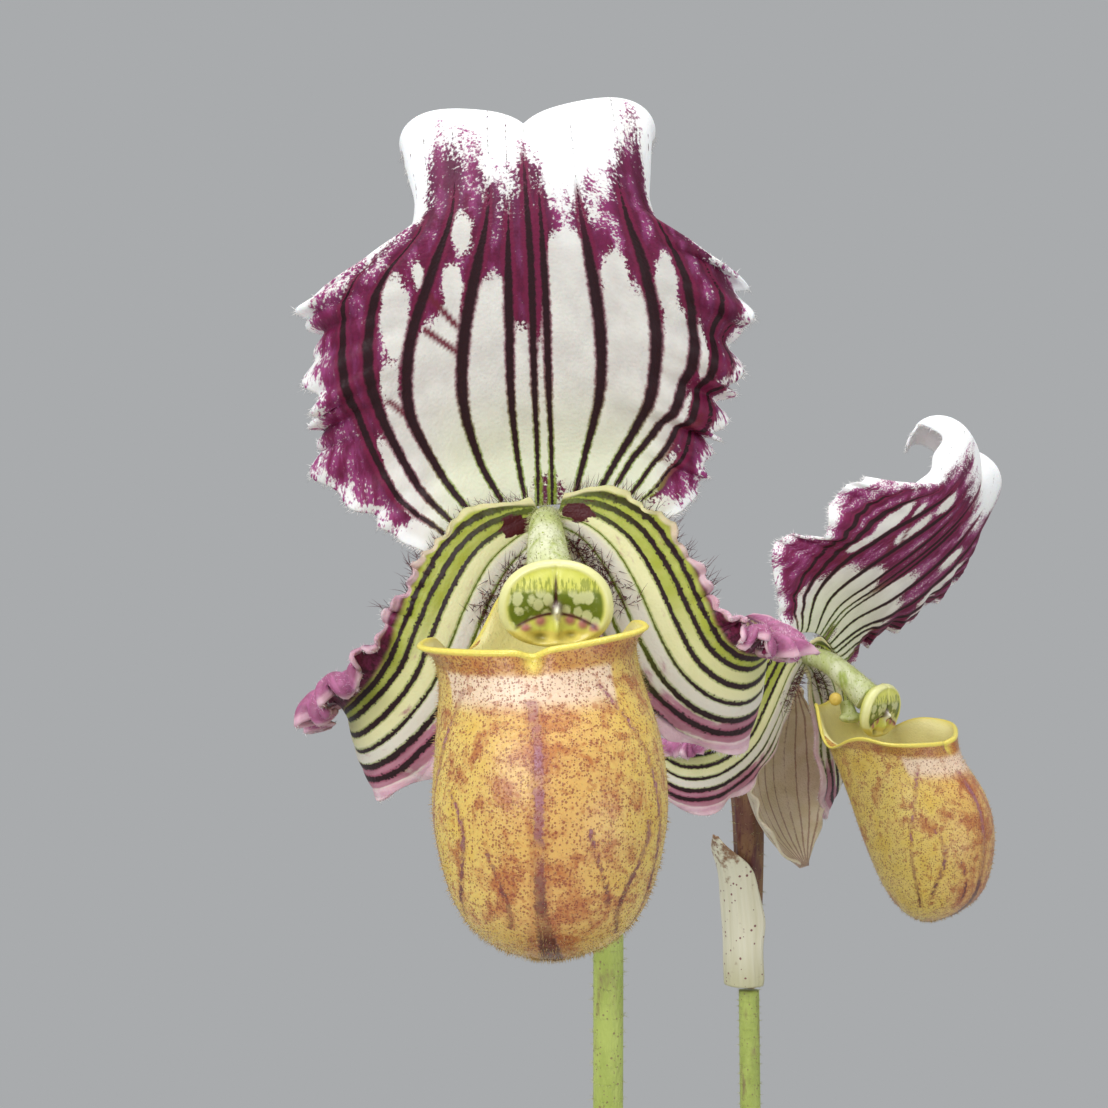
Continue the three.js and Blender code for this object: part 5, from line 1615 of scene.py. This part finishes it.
# Ovaries: the ribbed, hairy brown stalk behind each flower that would swell to the seed pod. It carries the
# flower, and stands on the scape inside the bract.
OVARY_RADII = [1.6, 1.9, 2.2, 2.2, 1.5]
OVARY_SIDES = 48
OVARY_RIBS = 6
OVARY_HAIRS = 1500


def ovary_points(flower):
    """A stem with rounded ribs, from behind the flower down to its foot on the scape: its rings are scaled by
    0.96 + 0.07·cos(ribs·turn)."""
    x, y, z = flower["foot"]
    line = [(0, 5, -1.5), (0, 9.5, -3), (x * 0.4, y + 1, -9), (x * 0.8, y, z / 2 - 1), (x, y, z)]
    points = tube(line, OVARY_RADII, OVARY_SIDES, 60)
    middle = points.mean(1, keepdims=True)
    turn = np.linspace(0, 2 * np.pi, OVARY_SIDES, endpoint=False)[None, :, None]
    return in_place(flower, middle + (points - middle) * (0.96 + 0.07 * np.cos(OVARY_RIBS * turn)))


ovary_brown = stem_material("ovary", colour("8b6a44"), colour("744a38"), colour("5e2e2c"), 0.45)
for letter, flower in FLOWERS.items():
    points = ovary_points(flower)
    name = f"ovary_{letter}"
    piece(f"fine_{name}", *capped(points), ovary_brown, "scape", replaces=[name])
    piece(f"ovary_hairs_{letter}", *fuzz(points, OVARY_HAIRS, 0.7, 0.025), green_hair, "scape")


# Scapes: the flower stalks, one grown from the middle of each flowering growth. They are round and hairy, of
# light green tissue flecked with brown.
SCAPE_RADIUS = 1.45
SCAPE_HAIRS = 4200


def scape_line(growth, flower):
    """The stalk's path: from the crown to the ovary's foot, slanting at first and upright above."""
    foot = in_place(flower, np.array(flower["foot"]) - [0, 0, 2 * GAP])
    crown_x, crown_y = growth["crown"]
    share = np.array([0, 0.2, 0.4, 0.6, 0.8, 1])
    eased = 1 - (1 - share) ** 1.5
    x = crown_x + (foot[0] - crown_x) * eased
    y = crown_y + (foot[1] - crown_y) * eased
    z = CROWN_TOP + 3 * GAP + (foot[2] - CROWN_TOP - 3 * GAP) * share
    return np.stack([x, y, z], -1)


scape_green = stem_material("scape", colour("b4c264"), colour("9dac50"), colour("8a7a50"), 0.2)
for letter, flower in FLOWERS.items():
    radii = [SCAPE_RADIUS * 1.2, SCAPE_RADIUS, SCAPE_RADIUS]
    points = tube(scape_line(GROWTHS[letter], flower), radii, 28, 120)
    name = f"scape_{letter}"
    piece(f"fine_{name}", *capped(points), scape_green, "scape", replaces=[name])
    piece(f"scape_hairs_{letter}", *fuzz(points, SCAPE_HAIRS, 0.55, 0.02), green_hair, "scape")


# Bracts: the sheath round the foot of each ovary, which grows from the top of the scape. It is papery tissue,
# cream with fine lengthwise veins and a brown tip.
BRACT_LINE = [(0, 3.6, 0.5), (0, 3.8, 8), (0, 4.4, 16), (0, 6.4, 22)]
BRACT_HALF = [5.2, 5.6, 4.6, 0.6]
BRACT_CUP = [1.8, 1.7, 1.1, 0.4]
BRACT_LENGTH = 22
BRACT_THICKNESS = 0.3


def bract_material():
    """Bract: thin cream tissue, with fine veins, green at its foot, brown and speckled towards its tip."""
    made, tree = material("bract")
    flat = read(tree, "flat", "Vector")
    lines = noise(tree, stretched(tree, flat, (1.5, 0.06, 1)), 1.0)
    base = mix(tree, lines, colour("cfc9a6"), colour("ece8d4"))
    base = mix(tree, times(tree, read(tree, "foot"), 0.5), base, colour("a9a468"))
    base = mix(tree, blotches(tree, flat, 0.7, read(tree, "tip"), 0.25), base, colour("8d6a4c"))
    base = mix(tree, spots(tree, flat, 2.0, 0.35, 0.2), base, colour("7d4c4a"))
    surface(tree, base, 0.55, lines, 0.25)
    return made


bract_cream = bract_material()
for letter, flower in FLOWERS.items():
    s, t = across_and_along(33, 49)
    half = through(BRACT_HALF, t)
    relief = 0.25 * ruffled(s, t, 3, (0.3, 1.9)) * s ** 2
    points = sheet(s, t, BRACT_LINE, [(1, 0, 0), (1, 0, 0)], half, through(BRACT_CUP, t), relief=relief)
    points = points @ rotation(z=flower["bract_turn"]).T + flower["foot"]
    grid = np.ones_like(s * t)
    values = both_sides(
        flat=np.stack([s * half, t * BRACT_LENGTH * grid, grid], -1),
        foot=(1 - ramp(t, 0, 0.3)) * grid,
        tip=0.7 * ramp(t, 0.6, 1) * grid,
    )
    name = f"bract_{letter}"
    body = shell(in_place(flower, points), BRACT_THICKNESS)
    piece(f"fine_{name}", *body, bract_cream, "bract", replaces=[name], attributes=values)


# Stage: a pale matt floor under the pot that fades into an even pale surround, so that no horizon shows
# behind the flowers, and three soft round lamps.
SURROUND = colour("a9abad")
FLOOR_RADII = [1, 60, 200, 600, 1500, 4000, 30000]
FLOOR_TOP = -0.05
FLOOR_THICKNESS = 20
FADE_START = 250
FADE_END = 750


def floor_material():
    """Pale matt floor near the pot, and the surround's own light further out."""
    made, tree = material("floor")
    place = object_place(tree)
    away = node(tree, "VectorMath", {0: place}, operation="LENGTH").outputs["Value"]
    far = fade(tree, away, FADE_START, FADE_END)
    base = mix(tree, noise(tree, place, 0.02), colour("c3c4c4"), colour("cccccb"))
    near = node(tree, "BsdfPrincipled", {"Base Color": base, "Roughness": 0.8})
    glow = node(tree, "Emission", {"Color": SURROUND, "Strength": 1.0})
    blend = node(tree, "MixShader", {0: far, 1: near.outputs[0], 2: glow.outputs[0]})
    output = node(tree, "OutputMaterial")
    tree.links.new(blend.outputs[0], output.inputs["Surface"])
    return made


def floor_points():
    """A flat disc of rings just under the pot's foot, and the last ring once more at its underside."""
    turn = np.linspace(0, 2 * np.pi, 96, endpoint=False)[None, :]
    radius = np.array(FLOOR_RADII + FLOOR_RADII[-1:])[:, None]
    height = np.array([FLOOR_TOP] * len(FLOOR_RADII) + [-FLOOR_THICKNESS])[:, None]
    return np.stack([radius * np.cos(turn), radius * np.sin(turn), height + 0 * turn], -1)


floor = mesh_object("floor", *capped(floor_points()[::-1]))
floor.data.materials.append(floor_material())

world = bpy.data.worlds.new("surround")
world.use_nodes = True
world.node_tree.nodes["Background"].inputs["Color"].default_value = SURROUND
bpy.context.scene.world = world

LIGHTS = [
    # name, place, aim and size in metres, and power in watts
    ("key", (-0.5, -0.8, 0.8), (-0.017, -0.04, 0.29), 0.8, 8.5),
    ("top", (0.05, 0.1, 1.15), (-0.01, -0.02, 0.29), 0.7, 6.5),
    ("fill", (0.75, -0.7, 0.1), (-0.01, -0.02, 0.28), 0.8, 4.0),
]


def aimed(made, place, aim):
    """Puts a light or camera at a place so that it looks at the aim."""
    made.location = place
    made.rotation_euler = (Vector(aim) - Vector(place)).to_track_quat("-Z", "Y").to_euler()
    bpy.context.scene.collection.objects.link(made)


for name, place, aim, size, power in LIGHTS:
    lamp = bpy.data.lights.new(name, "AREA")
    lamp.shape = "DISK"
    lamp.size = size
    lamp.energy = power
    aimed(bpy.data.objects.new(name, lamp), place, aim)


# Camera: level, at the flowers' height and 150 millimetres in front of the nearer one. Its lens frames the
# width that the two flowers take up.
CAMERA_PLACE = (-0.017, -0.19, 0.3)
CAMERA_AIM = (-0.017, 0, 0.3)
CAMERA_LENS = 56.05
camera_data = bpy.data.cameras.new("camera")
camera_data.sensor_width = 36
camera_data.lens = CAMERA_LENS
camera_data.clip_start = 0.01
camera_data.clip_end = 100
camera = bpy.data.objects.new("camera", camera_data)
aimed(camera, CAMERA_PLACE, CAMERA_AIM)
bpy.context.scene.camera = camera
bpy.context.scene.view_settings.view_transform = "Standard"
